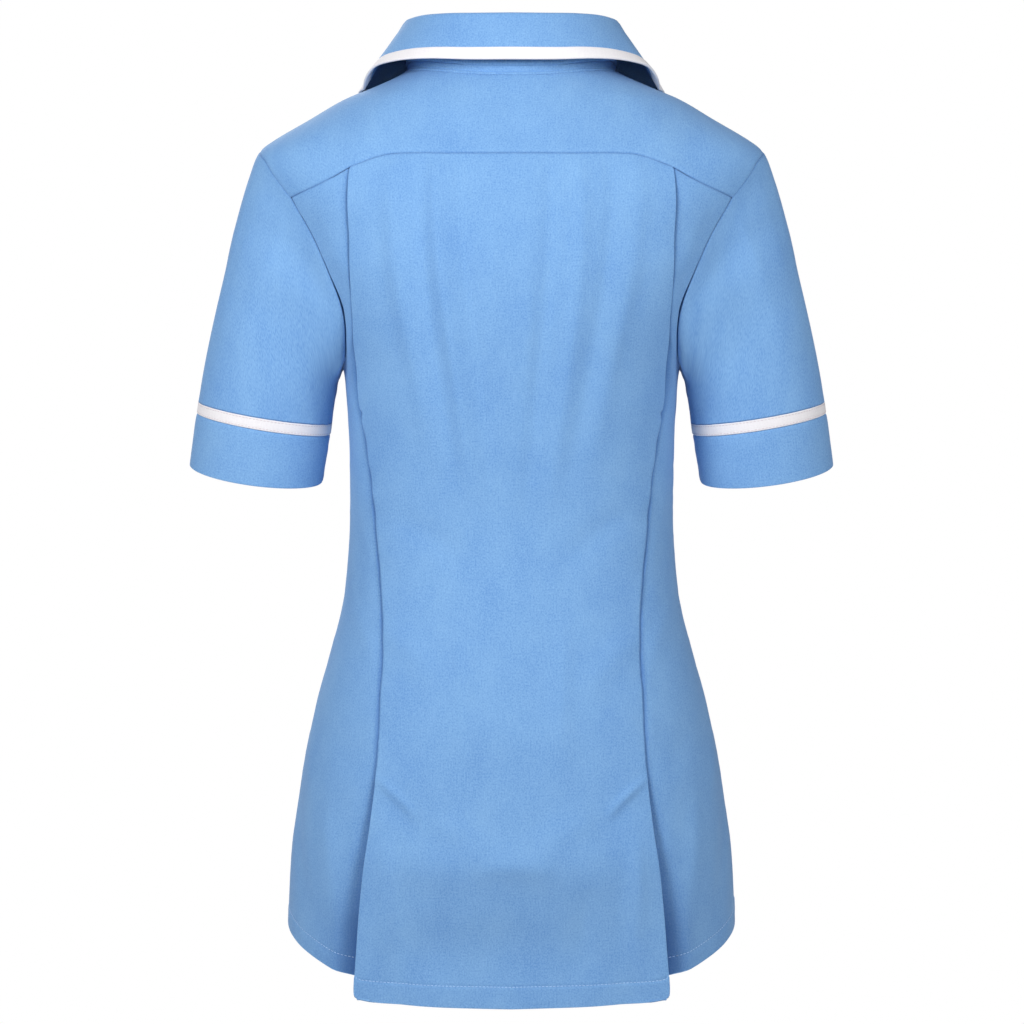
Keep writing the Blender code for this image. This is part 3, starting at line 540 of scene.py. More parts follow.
def turned(grid, normals, depth, bend, bulge, cells):
    """The rows that turn the bottom edge of a grid inward by bend and run up inside it."""
    below = run(grid[::-1], 0)
    down = unit(grid[-1] - grid[-2])
    rows = [grid[-1]]
    for degrees in BEND_ANGLES:
        arc = math.radians(degrees)
        rows.append(grid[-1] - normals[-1] * (bend * (1 - math.cos(arc)))[:, None]
                    + down * (bulge * math.sin(arc))[:, None])
    for share in np.linspace(0, 1, cells + 1)[1:]:
        place = at_distance(grid[::-1], below, depth * share)
        inward = at_distance(normals[::-1], below, depth * share)
        rows.append(place - inward * (2 * bend)[:, None])
    return np.array(rows)


def turned_up(grid, depth, bend=HEM_BEND, cells=7):
    """The strip that turns the bottom edge of a grid inward, with its hem this deep."""
    bend = np.broadcast_to(bend, grid.shape[1])
    depth = np.full(grid.shape[1], float(depth))
    return turned(grid, grid_normals(grid), depth, bend, np.minimum(bend, HEM_BEND), cells)


def turned_side(grid, bend, depth, cells=5):
    """The strip that turns the last column of a grid inward and runs back under it, starting at that column."""
    flipped, normals = [np.swapaxes(values, 0, 1) for values in (grid, grid_normals(grid))]
    return np.swapaxes(turned(flipped, normals, depth, bend, bend, cells), 0, 1)


def corner_ease(away):
    """How much of a turned edge's bend is left this far from a corner, so that two edges meet flat there."""
    return CORNER_BEND + (1 - CORNER_BEND) * ease(away / CORNER_REACH)


def mirror(grid):
    """The same cloth on the wearer's other side."""
    return grid[:, ::-1] * (-1, 1, 1)


def on_side(side, *grids):
    """Grids made for the left side, brought to the named side."""
    return [mirror(grid) if side == "right" else grid for grid in grids]


def lifted(grid, out):
    """A grid moved this far out of itself."""
    return grid + grid_normals(grid) * out[..., None]


def dyed(away, line):
    """How much shade is painted into the colour beside a line, given as its strength and half-width."""
    strength, width = line
    return strength * bell(away, width)


def mesh_of(name, grids, deep=None):
    """One mesh over several grids of points, welded where they share an edge, with the cloth's own lengths as UV.

    The array deep goes with the first grid: from 0 to 1, how much painted shade darkens its colour there.
    """
    points = []
    faces = []
    lengths = []
    base = 0
    for grid in grids:
        rows, columns = grid.shape[:2]
        index = np.arange(rows * columns).reshape(rows, columns) + base
        corners = (index[:-1, :-1], index[:-1, 1:], index[1:, 1:], index[1:, :-1])
        faces.append(np.stack(corners, -1).reshape(-1, 4))
        side = run(grid, 1)
        side = side - side[:, columns // 2, None]
        down = run(grid, 0)
        lengths.append(np.stack([side, -down], -1).reshape(-1, 2))
        points.append(grid.reshape(-1, 3))
        base += rows * columns
    points = np.concatenate(points) * MM
    faces = np.concatenate(faces)
    lengths = np.concatenate(lengths) * MM
    mesh = bpy.data.meshes.new(name)
    mesh.from_pydata(points.tolist(), [], faces.tolist())
    layer = mesh.uv_layers.new(name="cloth")
    layer.data.foreach_set("uv", lengths[faces.reshape(-1)].reshape(-1).astype(np.float32))
    if deep is not None:
        # The painted shade is kept as a point attribute for the material.
        dye = np.zeros(len(points), np.float32)
        dye[:deep.size] = np.clip(deep, 0, 1).reshape(-1)
        mesh.attributes.new("deep_dye", "FLOAT", "POINT").data.foreach_set("value", dye)
    if len(grids) > 1:
        bm = bmesh.new()
        bm.from_mesh(mesh)
        bmesh.ops.remove_doubles(bm, verts=bm.verts, dist=0.00001)
        bm.to_mesh(mesh)
        bm.free()
    mesh.shade_smooth()
    return mesh


def add(name, data):
    """Puts a new object into the scene."""
    made = bpy.data.objects.new(name, data)
    bpy.context.scene.collection.objects.link(made)
    return made


def cloth(part, grids, looks, slot="cloth", wall=CLOTH, deep=None):
    """A thin shell over its grids. It stands for a node of the frame and rests on another piece."""
    piece = add(f"{part}_cloth", mesh_of(f"{part}_cloth", grids, deep))
    piece.data.materials.append(looks[slot])
    shell = piece.modifiers.new("wall", "SOLIDIFY")
    shell.thickness = wall * MM
    shell.offset = -1
    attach(piece, BODY)
    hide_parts(part)


def srgb(code):
    """A linear colour from an sRGB hex value."""
    channels = [int(code[i:i + 2], 16) / 255 for i in (1, 3, 5)]
    return tuple(c / 12.92 if c <= 0.04045 else ((c + 0.055) / 1.055) ** 2.4 for c in channels) + (1.0,)


def node(tree, kind, inputs=None, **settings):
    """Adds a shader node. Settings are its own properties, and inputs are values or sockets to link from."""
    made = tree.nodes.new(kind)
    for name, value in settings.items():
        setattr(made, name, value)
    for socket, value in (inputs or {}).items():
        if isinstance(value, bpy.types.NodeSocket):
            tree.links.new(value, made.inputs[socket])
        else:
            made.inputs[socket].default_value = value
    return made


def new_look(name):
    """A material with a Principled shader. Returns the material, its node tree and the shader."""
    look = bpy.data.materials.new(name)
    look.use_nodes = True
    return look, look.node_tree, look.node_tree.nodes["Principled BSDF"]


def woven(name, dark, light, slub, grain, bump, sheen, roughness, painted_shade_colour=None):
    """Woven cloth: faint slubs down the warp and across, a fine grain and a broad mottle.

    Where the mesh's painted shade mask says so, a darker colour is mixed in as painted shade.
    """
    look, tree, shader = new_look(name)
    place = node(tree, "ShaderNodeUVMap", uv_map="cloth").outputs["UV"]

    spots = []
    for across, down, detail in WEAVE_SPOTS:
        scale = (1 / (across * MM), 1 / (down * MM), 1)
        scaled = node(tree, "ShaderNodeMapping", {"Vector": place, "Scale": scale}).outputs["Vector"]
        noise = {"Vector": scaled, "Scale": 1.0, "Detail": detail, "Roughness": 0.55}
        spots.append(node(tree, "ShaderNodeTexNoise", noise, noise_dimensions="2D").outputs["Fac"])
    warp, weft, fine, broad = spots
    layers = [warp]
    for share, spot in ((WEFT_SHARE, weft), (grain, fine), (MOTTLE_SHARE, broad)):
        layers.append(node(tree, "ShaderNodeMix", {"Factor": share, "A": layers[-1], "B": spot},
                           data_type="FLOAT").outputs["Result"])
    mixed, tone = layers[2:]
    spread = node(tree, "ShaderNodeMapRange", {"Value": tone, "From Min": 0.5 - slub, "From Max": 0.5 + slub})
    colour = node(tree, "ShaderNodeMix", {"Factor": spread.outputs["Result"], "A": dark, "B": light},
                  data_type="RGBA").outputs["Result"]
    if painted_shade_colour:
        # Painted shade: a darker blue mixed in along seams, pleat gaps and the tack.
        painted_shade_factor = node(tree, "ShaderNodeAttribute", attribute_name="deep_dye").outputs["Fac"]
        colour = node(tree, "ShaderNodeMix", {"Factor": painted_shade_factor, "A": colour, "B": painted_shade_colour},
                      data_type="RGBA").outputs["Result"]
    bumps = node(tree, "ShaderNodeBump", {"Height": mixed, "Strength": 1.0, "Distance": bump * MM})
    tree.links.new(colour, shader.inputs["Base Color"])
    tree.links.new(bumps.outputs["Normal"], shader.inputs["Normal"])
    for socket, value in (("Roughness", roughness), ("Specular IOR Level", 0.25), ("Sheen Weight", sheen),
                          ("Sheen Roughness", 0.45)):
        shader.inputs[socket].default_value = value
    return look


def make_looks():
    """The finishes of the tunic."""
    looks = {}
    # Polyester and cotton, 210 g a square metre, piece-dyed light blue: a fine matt twill with faint slubs and a
    # soft sheen at the sides. Its threads are 0.3 mm apart, too fine to show, so the grain is drawn at 1.3 mm.
    # Along its seams, in the gaps beside its pleats and at the tack, shade is painted into the colour as a deeper
    # blue.
    looks["cloth"] = woven("light_blue_polycotton", srgb("#6797D1"), srgb("#83B1DF"), 0.16, 0.66, 0.14, 0.1, 0.8,
                           painted_shade_colour=srgb("#2F5C9E"))
    # The same cloth left undyed, cut on the bias as a binding.
    looks["binding"] = woven("white_polycotton_binding", srgb("#E5E2E6"), srgb("#F0EEF1"), 0.22, 0.4, 0.08,
                             0.2, 0.8)
    # Spun polyester sewing thread in the colour of the cloth, and white for the bindings.
    looks["blue_thread"] = woven("blue_polyester_thread", srgb("#A4C8EE"), srgb("#B6D4F4"), 0.3, 0.5, 0.03,
                                 0.3, 0.6)
    looks["white_thread"] = woven("white_polyester_thread", srgb("#D6C9D0"), srgb("#E0D4DA"), 0.3, 0.5, 0.03,
                                  0.3, 0.6)
    looks["button"] = cast_polyester()
    return looks


def cast_polyester():
    """A button turned from cast polyester: satin white with a faint cloud in it."""
    look, tree, shader = new_look("cast_polyester")
    place = node(tree, "ShaderNodeTexCoord").outputs["Object"]
    cloud = node(tree, "ShaderNodeTexNoise", {"Vector": place, "Scale": 90.0, "Detail": 3.0}).outputs["Fac"]
    colour = node(tree, "ShaderNodeMix", {"Factor": cloud, "A": srgb("#DFE4EA"), "B": srgb("#F6F7F8")},
                  data_type="RGBA").outputs["Result"]
    gloss = node(tree, "ShaderNodeMapRange", {"Value": cloud, "To Min": 0.22, "To Max": 0.34}).outputs["Result"]
    tree.links.new(colour, shader.inputs["Base Color"])
    tree.links.new(gloss, shader.inputs["Roughness"])
    shader.inputs["IOR"].default_value = 1.53
    shader.inputs["Coat Weight"].default_value = 0.15
    return look


# Seam lines, from the top down or from the back to the front.
neck_back_line = seam(NECK_BACK)
neck_yoke_line = joined(neck_back_line, seam((NECK_BACK[-1], NECK_FRONT[0]), front=True))
neck_front_line = seam(NECK_FRONT, front=True)
shoulder_line = seam(SHOULDER_SEAM, front=True)
yoke_centre_line = seam(YOKE_SEAM_CENTRE)
yoke_side_line = seam(YOKE_SEAM_SIDE)
armhole_tip_line = seam((ARMHOLE_YOKE[-1], ARMHOLE_FRONT[0]), front=True)
armhole_yoke_line = joined(seam(ARMHOLE_YOKE), armhole_tip_line)
armhole_back_line = seam(ARMHOLE_BACK)
armhole_front_line = seam(ARMHOLE_FRONT, front=True)
pleat_line = seam(PLEAT_LINE)
back_hem_line = seam(BACK_HEM)
side_hem_line = seam(SIDE_HEM)
front_hem_line = seam(FRONT_HEM, front=True)
UNDERARM_LEVEL = ARMHOLE_BACK[-1][1]
SIDE_SEAM_BOTTOM = SIDE_HEM[-1][1]
side_seam_line = np.array([(math.pi / 2, level) for level in np.linspace(UNDERARM_LEVEL, SIDE_SEAM_BOTTOM, 60)])


def make_yoke(looks):
    """The yoke, from the neck out to the armholes and down to the back seam."""
    outer = joined(places(yoke_centre_line, graded(128, 34)), places(yoke_side_line, graded(54, 16)),
                   places(armhole_yoke_line, graded(48, 20, last=TIP_MARKS)))
    inner = places(neck_yoke_line, graded(105, 70, last=TIP_MARKS))
    outer = joined(mirrored(outer), outer)
    inner = joined(mirrored(inner), inner)
    down = places(shoulder_line, graded(137, 52, SEAM_MARKS, SEAM_MARKS))
    places_of = fill(inner, outer, mirrored(down)[::-1], down)
    angle, level = np.moveaxis(places_of, -1, 0)
    base = body_place(angle, level)
    neck, seams, left, right = from_edges(base)
    along = angle * FOLD_CHART_RADIUS
    out = body_folds(YOKE_FOLDS + both_sides(YOKE_PAIRS), angle, level) * ease(seams / 12) * ease(neck / 12)
    out = out + uneven(angle, level, 3) * ease(seams / 20) * ease(neck / 20)
    out = out + YOKE_SEAM * seam_relief(seams, along, 11, allowance=True)
    out = out + NECK_SEAM * seam_relief(neck, along, 12)
    out = out + seam_relief(left, level, 13) + seam_relief(right, level, 14)
    grid = base + body_normal(angle, level) * out[..., None]
    # The yoke seam and the neck seam are darkened with painted shade.
    cloth("yoke", [grid], looks, deep=dyed(seams, YOKE_PAINTED_SHADE) + dyed(neck, NECK_PAINTED_SHADE))


def make_back_centre(looks):
    """The centre back: its drape from the yoke, the action pleats, and the open vents at the hem."""
    half = graded(128, 60, last=SEAM_MARKS)
    top = places(yoke_centre_line, half)
    bottom = places(back_hem_line, half)
    levels = PLEAT_LINE[0][1] + (PLEAT_LINE[-1][1] - PLEAT_LINE[0][1]) * graded(652, 235, SEAM_MARKS, HEM_MARKS)
    edge = at_levels(pleat_line, levels)
    places_of = fill(joined(mirrored(top), top), joined(mirrored(bottom), bottom), mirrored(edge)[::-1], edge)
    angle, level = np.moveaxis(places_of, -1, 0)
    base = body_place(angle, level)
    yoke, hem, left, right = from_edges(base)
    side = np.minimum(left, right)
    edge_level = levels[:, None]
    sewn = ease((PLEAT_BOTTOM - edge_level) / 12) * ease((edge_level - VENT_TOP) / 8)
    along = angle * FOLD_CHART_RADIUS
    out = pleat_edge(level, 1) * ease(1 - side / LIFT_REACH)
    out = out + body_folds(BACK_FOLDS + both_sides(BACK_PAIRS), angle, level) * ease(yoke / 10)
    out = out + uneven(angle, level, 4) * ease(yoke / 25)
    out = out + YOKE_SEAM * seam_relief(yoke, along, 21)
    out = out - ROLL_DEPTH * bell(side, ROLL_REACH) * sewn
    out = out + EDGE_PUCKER * bell(side, 8) * wander(level, side, 14, 60, 22) * sewn
    tack_level, tack_height, tack_reach, tack_depth = TACK
    out = out - tack_depth * bell(level - tack_level, tack_height) * bell(side, tack_reach)
    out = out + hem_relief(hem, BACK_HEM_DEPTH, along, 23)
    grid = base + body_normal(angle, level) * out[..., None]
    bend = pleat_edge(levels, 2) * corner_ease(hem[:, -1])
    depth = pleat_edge(levels, 3)
    right_turn = turned_side(grid, bend, depth)
    left_turn = mirror(turned_side(mirror(grid), bend, depth))
    hem_bend = (HEM_BEND + CORNER_LAYERS * ease((16 - side[-1]) / 3)) * corner_ease(side[-1])
    hem_strip = turned_up(grid, BACK_HEM_DEPTH + HEM_TURNING, hem_bend)
    stitch("back_centre", [hem_line(grid, BACK_HEM_DEPTH)], looks)
    # Painted shade along the yoke seam, beside the sewn pleat edges and at the tack.
    deep = dyed(yoke, PANEL_PAINTED_SHADE) + dyed(side, PLEAT_PAINTED_SHADE) * sewn
    deep = deep + dyed(level - tack_level, TACK_PAINTED_SHADE) * bell(side, 2.4)
    cloth("back_centre", [grid, left_turn, right_turn, hem_strip], looks, deep=deep)


def side_back_grids():
    """The wearer's left side back, with its underlay, and the strip of its hem."""
    arm_shares = graded(165, 46, first=SEAM_MARKS)
    side_shares = graded(455, 96, last=HEM_MARKS)
    side_levels = UNDERARM_LEVEL + (SIDE_HEM[0][1] - UNDERARM_LEVEL) * side_shares
    top_level = PLEAT_LINE[0][1]
    levels = np.concatenate([top_level + (UNDERARM_LEVEL - top_level) * arm_shares, side_levels[1:]])
    left = at_levels(pleat_line, levels)
    right = joined(places(armhole_back_line, arm_shares), places(side_seam_line, side_shares))
    across = graded(56, 36, (0, 0.6, 1.2, 2, 3, 4.5, 7), SEAM_MARKS)
    bottom = places(side_hem_line, across)
    bottom[0] = left[-1]
    places_of = fill(places(yoke_side_line, across), bottom, left, right)
    step = np.array(UNDERLAY) / np.linalg.norm(on_body(left), axis=1)[:, None]
    under = np.stack([left[:, :1] - step, np.broadcast_to(left[:, 1:], step.shape)], -1)
    angle, level = np.moveaxis(np.concatenate([under, places_of], 1), -1, 0)
    base = body_place(angle, level)
    top, hem, _, side = from_edges(base)
    from_pleat = run(base, 1)
    from_pleat = from_pleat - from_pleat[:, len(UNDERLAY), None]
    along = angle * FOLD_CHART_RADIUS
    depth = pleat_edge(levels, 4)[:, None]
    reach = pleat_edge(levels, 5)[:, None]
    out = -depth * ease(1 - from_pleat / reach)
    shown = ease(from_pleat / 8)
    out = out + (body_folds(SIDE_FOLDS, angle, level) + uneven(angle, level, 5)) * ease(top / 10) * shown
    out = out + seam_relief(top, along, 31) + seam_relief(side, level, 32)
    out = out + UNDER_PLEAT_PUCKER * bell(from_pleat - 6, 6) * wander(level, from_pleat, 15, 60, 33)
    out = out + hem_relief(hem, SIDE_HEM_DEPTH, along, 34)
    grid = base + body_normal(angle, level) * out[..., None]
    # Painted shade in the gap beside the pleat edge, from the table's last column, and along the seams.
    deep = pleat_edge(levels, 6)[:, None] * bell(np.maximum(from_pleat, 0), reach * 0.9 + 0.8)
    deep = deep + dyed(top, PANEL_PAINTED_SHADE) + dyed(side, SIDE_PAINTED_SHADE)
    return grid, turned_up(grid, SIDE_HEM_DEPTH + HEM_TURNING), deep


def hem_line(grid, depth):
    """The places and directions of a grid this far above its bottom edge."""
    below = run(grid[::-1], 0)
    wanted = np.full(grid.shape[1], float(depth))
    return at_distance(grid[::-1], below, wanted), at_distance(grid_normals(grid)[::-1], below, wanted)


def make_side_backs(looks):
    """The two side backs, with the stitches of their hems."""
    grid, strip, deep = side_back_grids()
    for side, inside_out in (("left", 1), ("right", -1)):
        pieces = on_side(side, grid, strip)
        cloth(f"back_side_{side}", pieces, looks, deep=deep[:, ::inside_out])
        visible, = on_side(side, grid[:, len(UNDERLAY):])
        stitch(f"back_side_{side}", [hem_line(visible, SIDE_HEM_DEPTH)], looks)


def front_grids(under, seed):
    """A front for the wearer's left side, from the shoulder to the hem, with its facing and hem turned in."""
    arm_shares = graded(225, 62, first=SEAM_MARKS)
    side_shares = graded(445, 96, last=HEM_MARKS)
    side_edge = joined(places(armhole_front_line, arm_shares), places(side_seam_line, side_shares))
    neck_shares = graded(115, 34, first=SEAM_MARKS)
    rows = len(side_edge) - len(neck_shares)
    level_top = NECK_FRONT[-1][1]
    level_bottom = FRONT_HEM[-1][1]
    levels = level_top + (level_bottom - level_top) * graded(level_top - level_bottom, rows, last=HEM_MARKS)
    edge = np.array([(angle_at(-OVERLAP, level, True), level) for level in levels])
    centre_edge = np.concatenate([places(neck_front_line, neck_shares), edge[1:]])
    across = graded(137, 56, SEAM_MARKS, SEAM_MARKS)
    top = places(shoulder_line, 1 - across)
    bottom = places(front_hem_line, across)
    places_of = fill(top, bottom, side_edge, centre_edge)
    angle, level = np.moveaxis(places_of, -1, 0)
    base = body_place(angle, level)
    shoulder, hem, side, centre = from_edges(base)
    along = angle * FOLD_CHART_RADIUS
    x = base[..., 0]
    lap = ease((level_top + 6 - level) / 12)
    neck = ease((level - level_top) / 6)
    out = -UNDERLAP_DEPTH * ease(1 - (x - UNDERLAP_REACH) / UNDERLAP_FADE) if under else 0.0 * x
    drape = body_folds(FRONT_FOLDS, angle, level, True) + uneven(angle, level, seed)
    out = out + drape * ease(shoulder / 12) * ease(centre / 30)
    out = out + seam_relief(shoulder, along, seed + 1) + seam_relief(side, level, seed + 2)
    out = out + seam_relief(centre, level, seed + 3) * neck
    out = out + (stitch_relief(centre, EDGE_STITCH, level, seed + 4)
                 + stitch_relief(centre, FACING, level, seed + 5)) * lap
    out = out + hem_relief(hem, BACK_HEM_DEPTH, along, seed + 6)
    grid = base + body_normal(angle, level) * out[..., None]
    first = len(neck_shares)
    lapped = grid[first:]
    edge_bend = HEM_BEND * corner_ease(hem[first:, -1])
    facing = turned_side(lapped, edge_bend, np.full(len(lapped), float(FACING)), 8)
    hem_bend = (HEM_BEND + CORNER_LAYERS * ease((FACING + 4 - centre[-1]) / 4)) * corner_ease(centre[-1])
    strip = turned_up(grid, BACK_HEM_DEPTH + HEM_TURNING, hem_bend)
    return grid, facing, strip, lapped


def make_fronts(looks):
    """The left front, and the right one that laps over it."""
    for side, under, seed in (("left", True, 51), ("right", False, 41)):
        grid, facing, strip, lapped = front_grids(under, seed)
        cloth(f"front_{side}", on_side(side, grid, facing, strip), looks)
        rows = [hem_line(grid, BACK_HEM_DEPTH)]
        for depth in (EDGE_STITCH, FACING):
            line, inward = hem_line(np.swapaxes(lapped, 0, 1), depth)
            rows.append((line, -inward))
        if side == "right":
            rows = [(line * (-1, 1, 1), normal * (-1, 1, 1)) for line, normal in rows]
        stitch(f"front_{side}", rows, looks)


def ring_points(name, turn):
    """Points of a sleeve ring: turn 0 is the outer side, a quarter turn the back."""
    across, along, level, half_width, half_depth, side_tilt, back_drop = SLEEVE_RINGS[name]
    tilt = math.radians(side_tilt)
    drop = math.radians(back_drop)
    wide = np.array((math.cos(tilt), 0, math.sin(tilt))) * half_width
    deep = np.array((0, math.cos(drop), -math.sin(drop))) * half_depth
    return np.array((across, along, level)) + np.cos(turn)[:, None] * wide + np.sin(turn)[:, None] * deep


def armhole_turns():
    """Places round the left armhole from under the arm over the back, the shoulder and the front, with turns."""
    back = places(armhole_back_line, graded(165, 46))[::-1]
    over = places(armhole_yoke_line, graded(48, 20, last=TIP_MARKS))
    front = places(armhole_front_line, graded(225, 60))
    loop = joined(back, over, front)
    spots = on_body(loop)
    length = run(spots[None], 1)[0]
    tip = len(back) - 1 + int(np.argmin(np.abs(over[:, 0] - math.pi / 2)))
    ahead = (length - length[tip]) / (length[-1] - length[tip])
    turns = np.where(length < length[tip], 1 - length / length[tip], -ahead) * math.pi
    return loop, turns


def sleeve_grids():
    """The wearer's left sleeve, its band and its cuff with the turned-up hem."""
    loop, turn = armhole_turns()
    top_ring = ring_points("band_top", turn)
    ends = np.array([0.0, math.pi])
    hang = unit((ring_points("cuff_bottom", ends) - ring_points("band_top", ends)).sum(0))
    spots = on_body(loop)
    normal = body_normal(loop[:, 0], loop[:, 1])
    around = unit(np.roll(spots, -1, 0) - np.roll(spots, 1, 0))
    around[0] = around[-1] = unit(spots[1] - spots[-2])
    leave = np.cross(normal, around)
    under = ((1 - np.cos(turn)) / 2)[:, None]
    start = spots + normal * (UNDERARM_CLEARANCE * under - SEAM_DEPTH * (1 - under))
    start_pull = unit(leave * (1 - under) + (hang + normal * UNDERARM_SPRING) * under) * SLEEVE_START_PULL
    t = graded(165, 62, SEAM_MARKS, (0, 1.5, 4))[:, None, None]
    grid = (start * ((1 + 2 * t) * (1 - t) ** 2) + start_pull * (t * (1 - t) ** 2)
            + top_ring * (t * t * (3 - 2 * t)) + hang * (SLEEVE_END_PULL * t * t * (t - 1)))
    away, band, _, _ = from_edges(grid)
    u = turn[None] * SLEEVE_CHART_RADIUS + 0 * away
    drawn = [(math.radians(a) * SLEEVE_CHART_RADIUS, -b, math.radians(c) * SLEEVE_CHART_RADIUS, -d, *shape)
             for a, b, c, d, *shape in SLEEVE_FOLDS]
    seamed = np.minimum(run(grid, 1), run(grid, 1)[:, -1:] - run(grid, 1))
    out = folds(drawn, u, -away) * ease(away / 14) * ease(band / 12) * ease(seamed / 12)
    out = out + WANDER * wander(u, away, 40, 60, 61) * ease(away / 20) * ease(band / 20) * ease(seamed / 12)
    ridge = SEAM_DEPTH * (1 - bell(away, SEAM_REACH)) * (1 - ease(away / RIDGE_FADE))
    pucker = PUCKER_HEIGHT * bell(away - 4, PUCKER_REACH) * wander(u, away, PUCKER_PITCH, 40, 62)
    out = out + (ridge + pucker * ease(away / 2)) * ease(1.2 - under[:, 0])
    out = out + seam_relief(seamed, away, 63)
    inner = ease((np.abs(turn)[None] - 1.6) / 0.9)
    out = out + (BAND_PUCKER + BAND_PUCKER_INNER * inner) * bell(band, 7) * wander(u, band, 3.4, 40, 64)
    sleeve = lifted(grid, out)
    # Painted shade along the armhole seam above the underarm and beside the band.
    deep = dyed(away, ARMHOLE_PAINTED_SHADE) * (1 - under[:, 0]) + dyed(band, BAND_PAINTED_SHADE)

    t = graded(8.9, 12, (0, 0.4, 0.9, 1.5), (0, 0.4, 0.9, 1.5))[:, None, None]
    band_grid = ring_points("band_top", turn) * (1 - t) + ring_points("band_bottom", turn) * t
    top, bottom, _, _ = from_edges(band_grid)
    edge = np.minimum(top, bottom)
    out = BAND_RAISE * ease(edge / 0.7) - 0.3 * bell(edge - 1.5, 0.5)
    out = out + 0.12 * wander(u[:1], top, 9, 30, 65)
    band_grid = lifted(band_grid, out)

    t = graded(39.5, 30, SEAM_MARKS[:6], (0, 0.6, 1.5))[:, None, None]
    cuff = ring_points("band_bottom", turn) * (1 - t) + ring_points("cuff_bottom", turn) * t
    top, bottom, left, right = from_edges(cuff)
    seamed = np.minimum(left, right)
    out = 0.3 * ease(top / 3) + 0.35 * wander(u[:1], top, 34, 30, 66) * ease(top / 10)
    out = out - 0.6 * bell(top, 1.2) + seam_relief(seamed, top, 67)
    cuff = lifted(cuff, out)
    return sleeve, band_grid, cuff, turned_up(cuff, CUFF_TURNING, HEM_BEND, 9), deep


def make_sleeves(looks):
    """Both sleeves, each with its white band and its cuff."""
    *grids, deep = sleeve_grids()
    for side, around in (("left", 1), ("right", -1)):
        arm, tape, cuff, inside = on_side(side, *grids)
        sleeve = f"sleeve_{side}"
        cloth(sleeve, [arm], looks, deep=deep[:, ::around])
        cloth(f"cuff_band_{side}", [tape], looks, "binding", BAND_WALL)
        cloth(f"cuff_{side}", [cuff, inside], looks)
        high, inward = hem_line(tape[::-1], BAND_STITCH)
        rows = [hem_line(tape, BAND_STITCH), (high, -inward)]
        stitch(f"cuff_band_{side}", rows, looks, "white_thread")


def clear_of_body(points, clearance):
    """Moves points out, square to the surface, until they stand clear of the body."""
    for _ in range(CLEARING_MOVES):
        angle = np.arctan2(points[..., 0], points[..., 1])
        normal = body_normal(angle, points[..., 2])
        short = clearance - ((points - body_place(angle, points[..., 2])) * normal).sum(-1)
        points = points + normal * np.maximum(short, 0)[..., None]
    return points


def neck_outward(base):
    """Level directions away from the neck, averaged over a short length so that the fall turns softly."""
    whole = np.concatenate([(base * (-1, 1, 1))[:0:-1], base])
    along = unit(np.gradient(whole, axis=0) * (1, 1, 0))
    length = run(whole[None], 1)[0]
    near = bell(length[:, None] - length[None], OUTWARD_REACH)
    along = unit(near @ along)[len(base) - 1:]
    return np.stack([-along[:, 1], along[:, 0], 0 * along[:, 0]], 1)


def collar_grid():
    """The collar from its neck seam up the stand, over the fold and down the fall to its edge."""
    half = joined(neck_yoke_line, neck_front_line)
    share = graded(225, 96, last=(0, 1.5, 4, 8))
    where = places(half, share)
    base = on_body(where)
    outward = neck_outward(base)
    rise, lean, spread, drop, belly = np.moveaxis(collar_section(share), -1, 0)[..., None]
    up = np.array((0.0, 0.0, 1.0))
    swing = np.array((1.0, 0.0, 0.0)) * (POINT_SWING * ease((share - POINT_START) / (1 - POINT_START)))[:, None]
    stand_top = base + up * (rise - COLLAR_FOLD_RISE) - outward * lean
    fall_top = stand_top + outward * COLLAR_FOLD_WIDTH
    rows = [base - up * NECK_TUCK - outward * 0.3]
    for t in graded(43, 24, (0, 0.6, 1.3, 2.1, 3.2, 4.4, 5.2, 6.0, 6.9, 7.3, 7.8, 9.4)):
        rows.append(base + (stand_top - base) * t)
    for degrees in range(165, 20, -15):
        arc = math.radians(degrees)
        rows.append(stand_top + outward * (COLLAR_FOLD_WIDTH / 2 * (1 + math.cos(arc)))
                    + up * (COLLAR_FOLD_RISE * math.sin(arc)))
    edge = clear_of_body(stand_top + outward * spread - up * drop + swing, COLLAR_CLEARANCE)
    fall_start = len(rows)
    for t in FALL_START + (1 - FALL_START) * graded(37, 26, last=(0, 0.8, 2, 4)):
        point = fall_top + (edge - fall_top) * t + outward * (belly * math.sin(math.pi * t))
        rows.append(clear_of_body(point, COLLAR_CLEARANCE))
    half_grid = np.array(rows)
    return np.concatenate([(half_grid * (-1, 1, 1))[:, :0:-1], half_grid], 1), fall_start


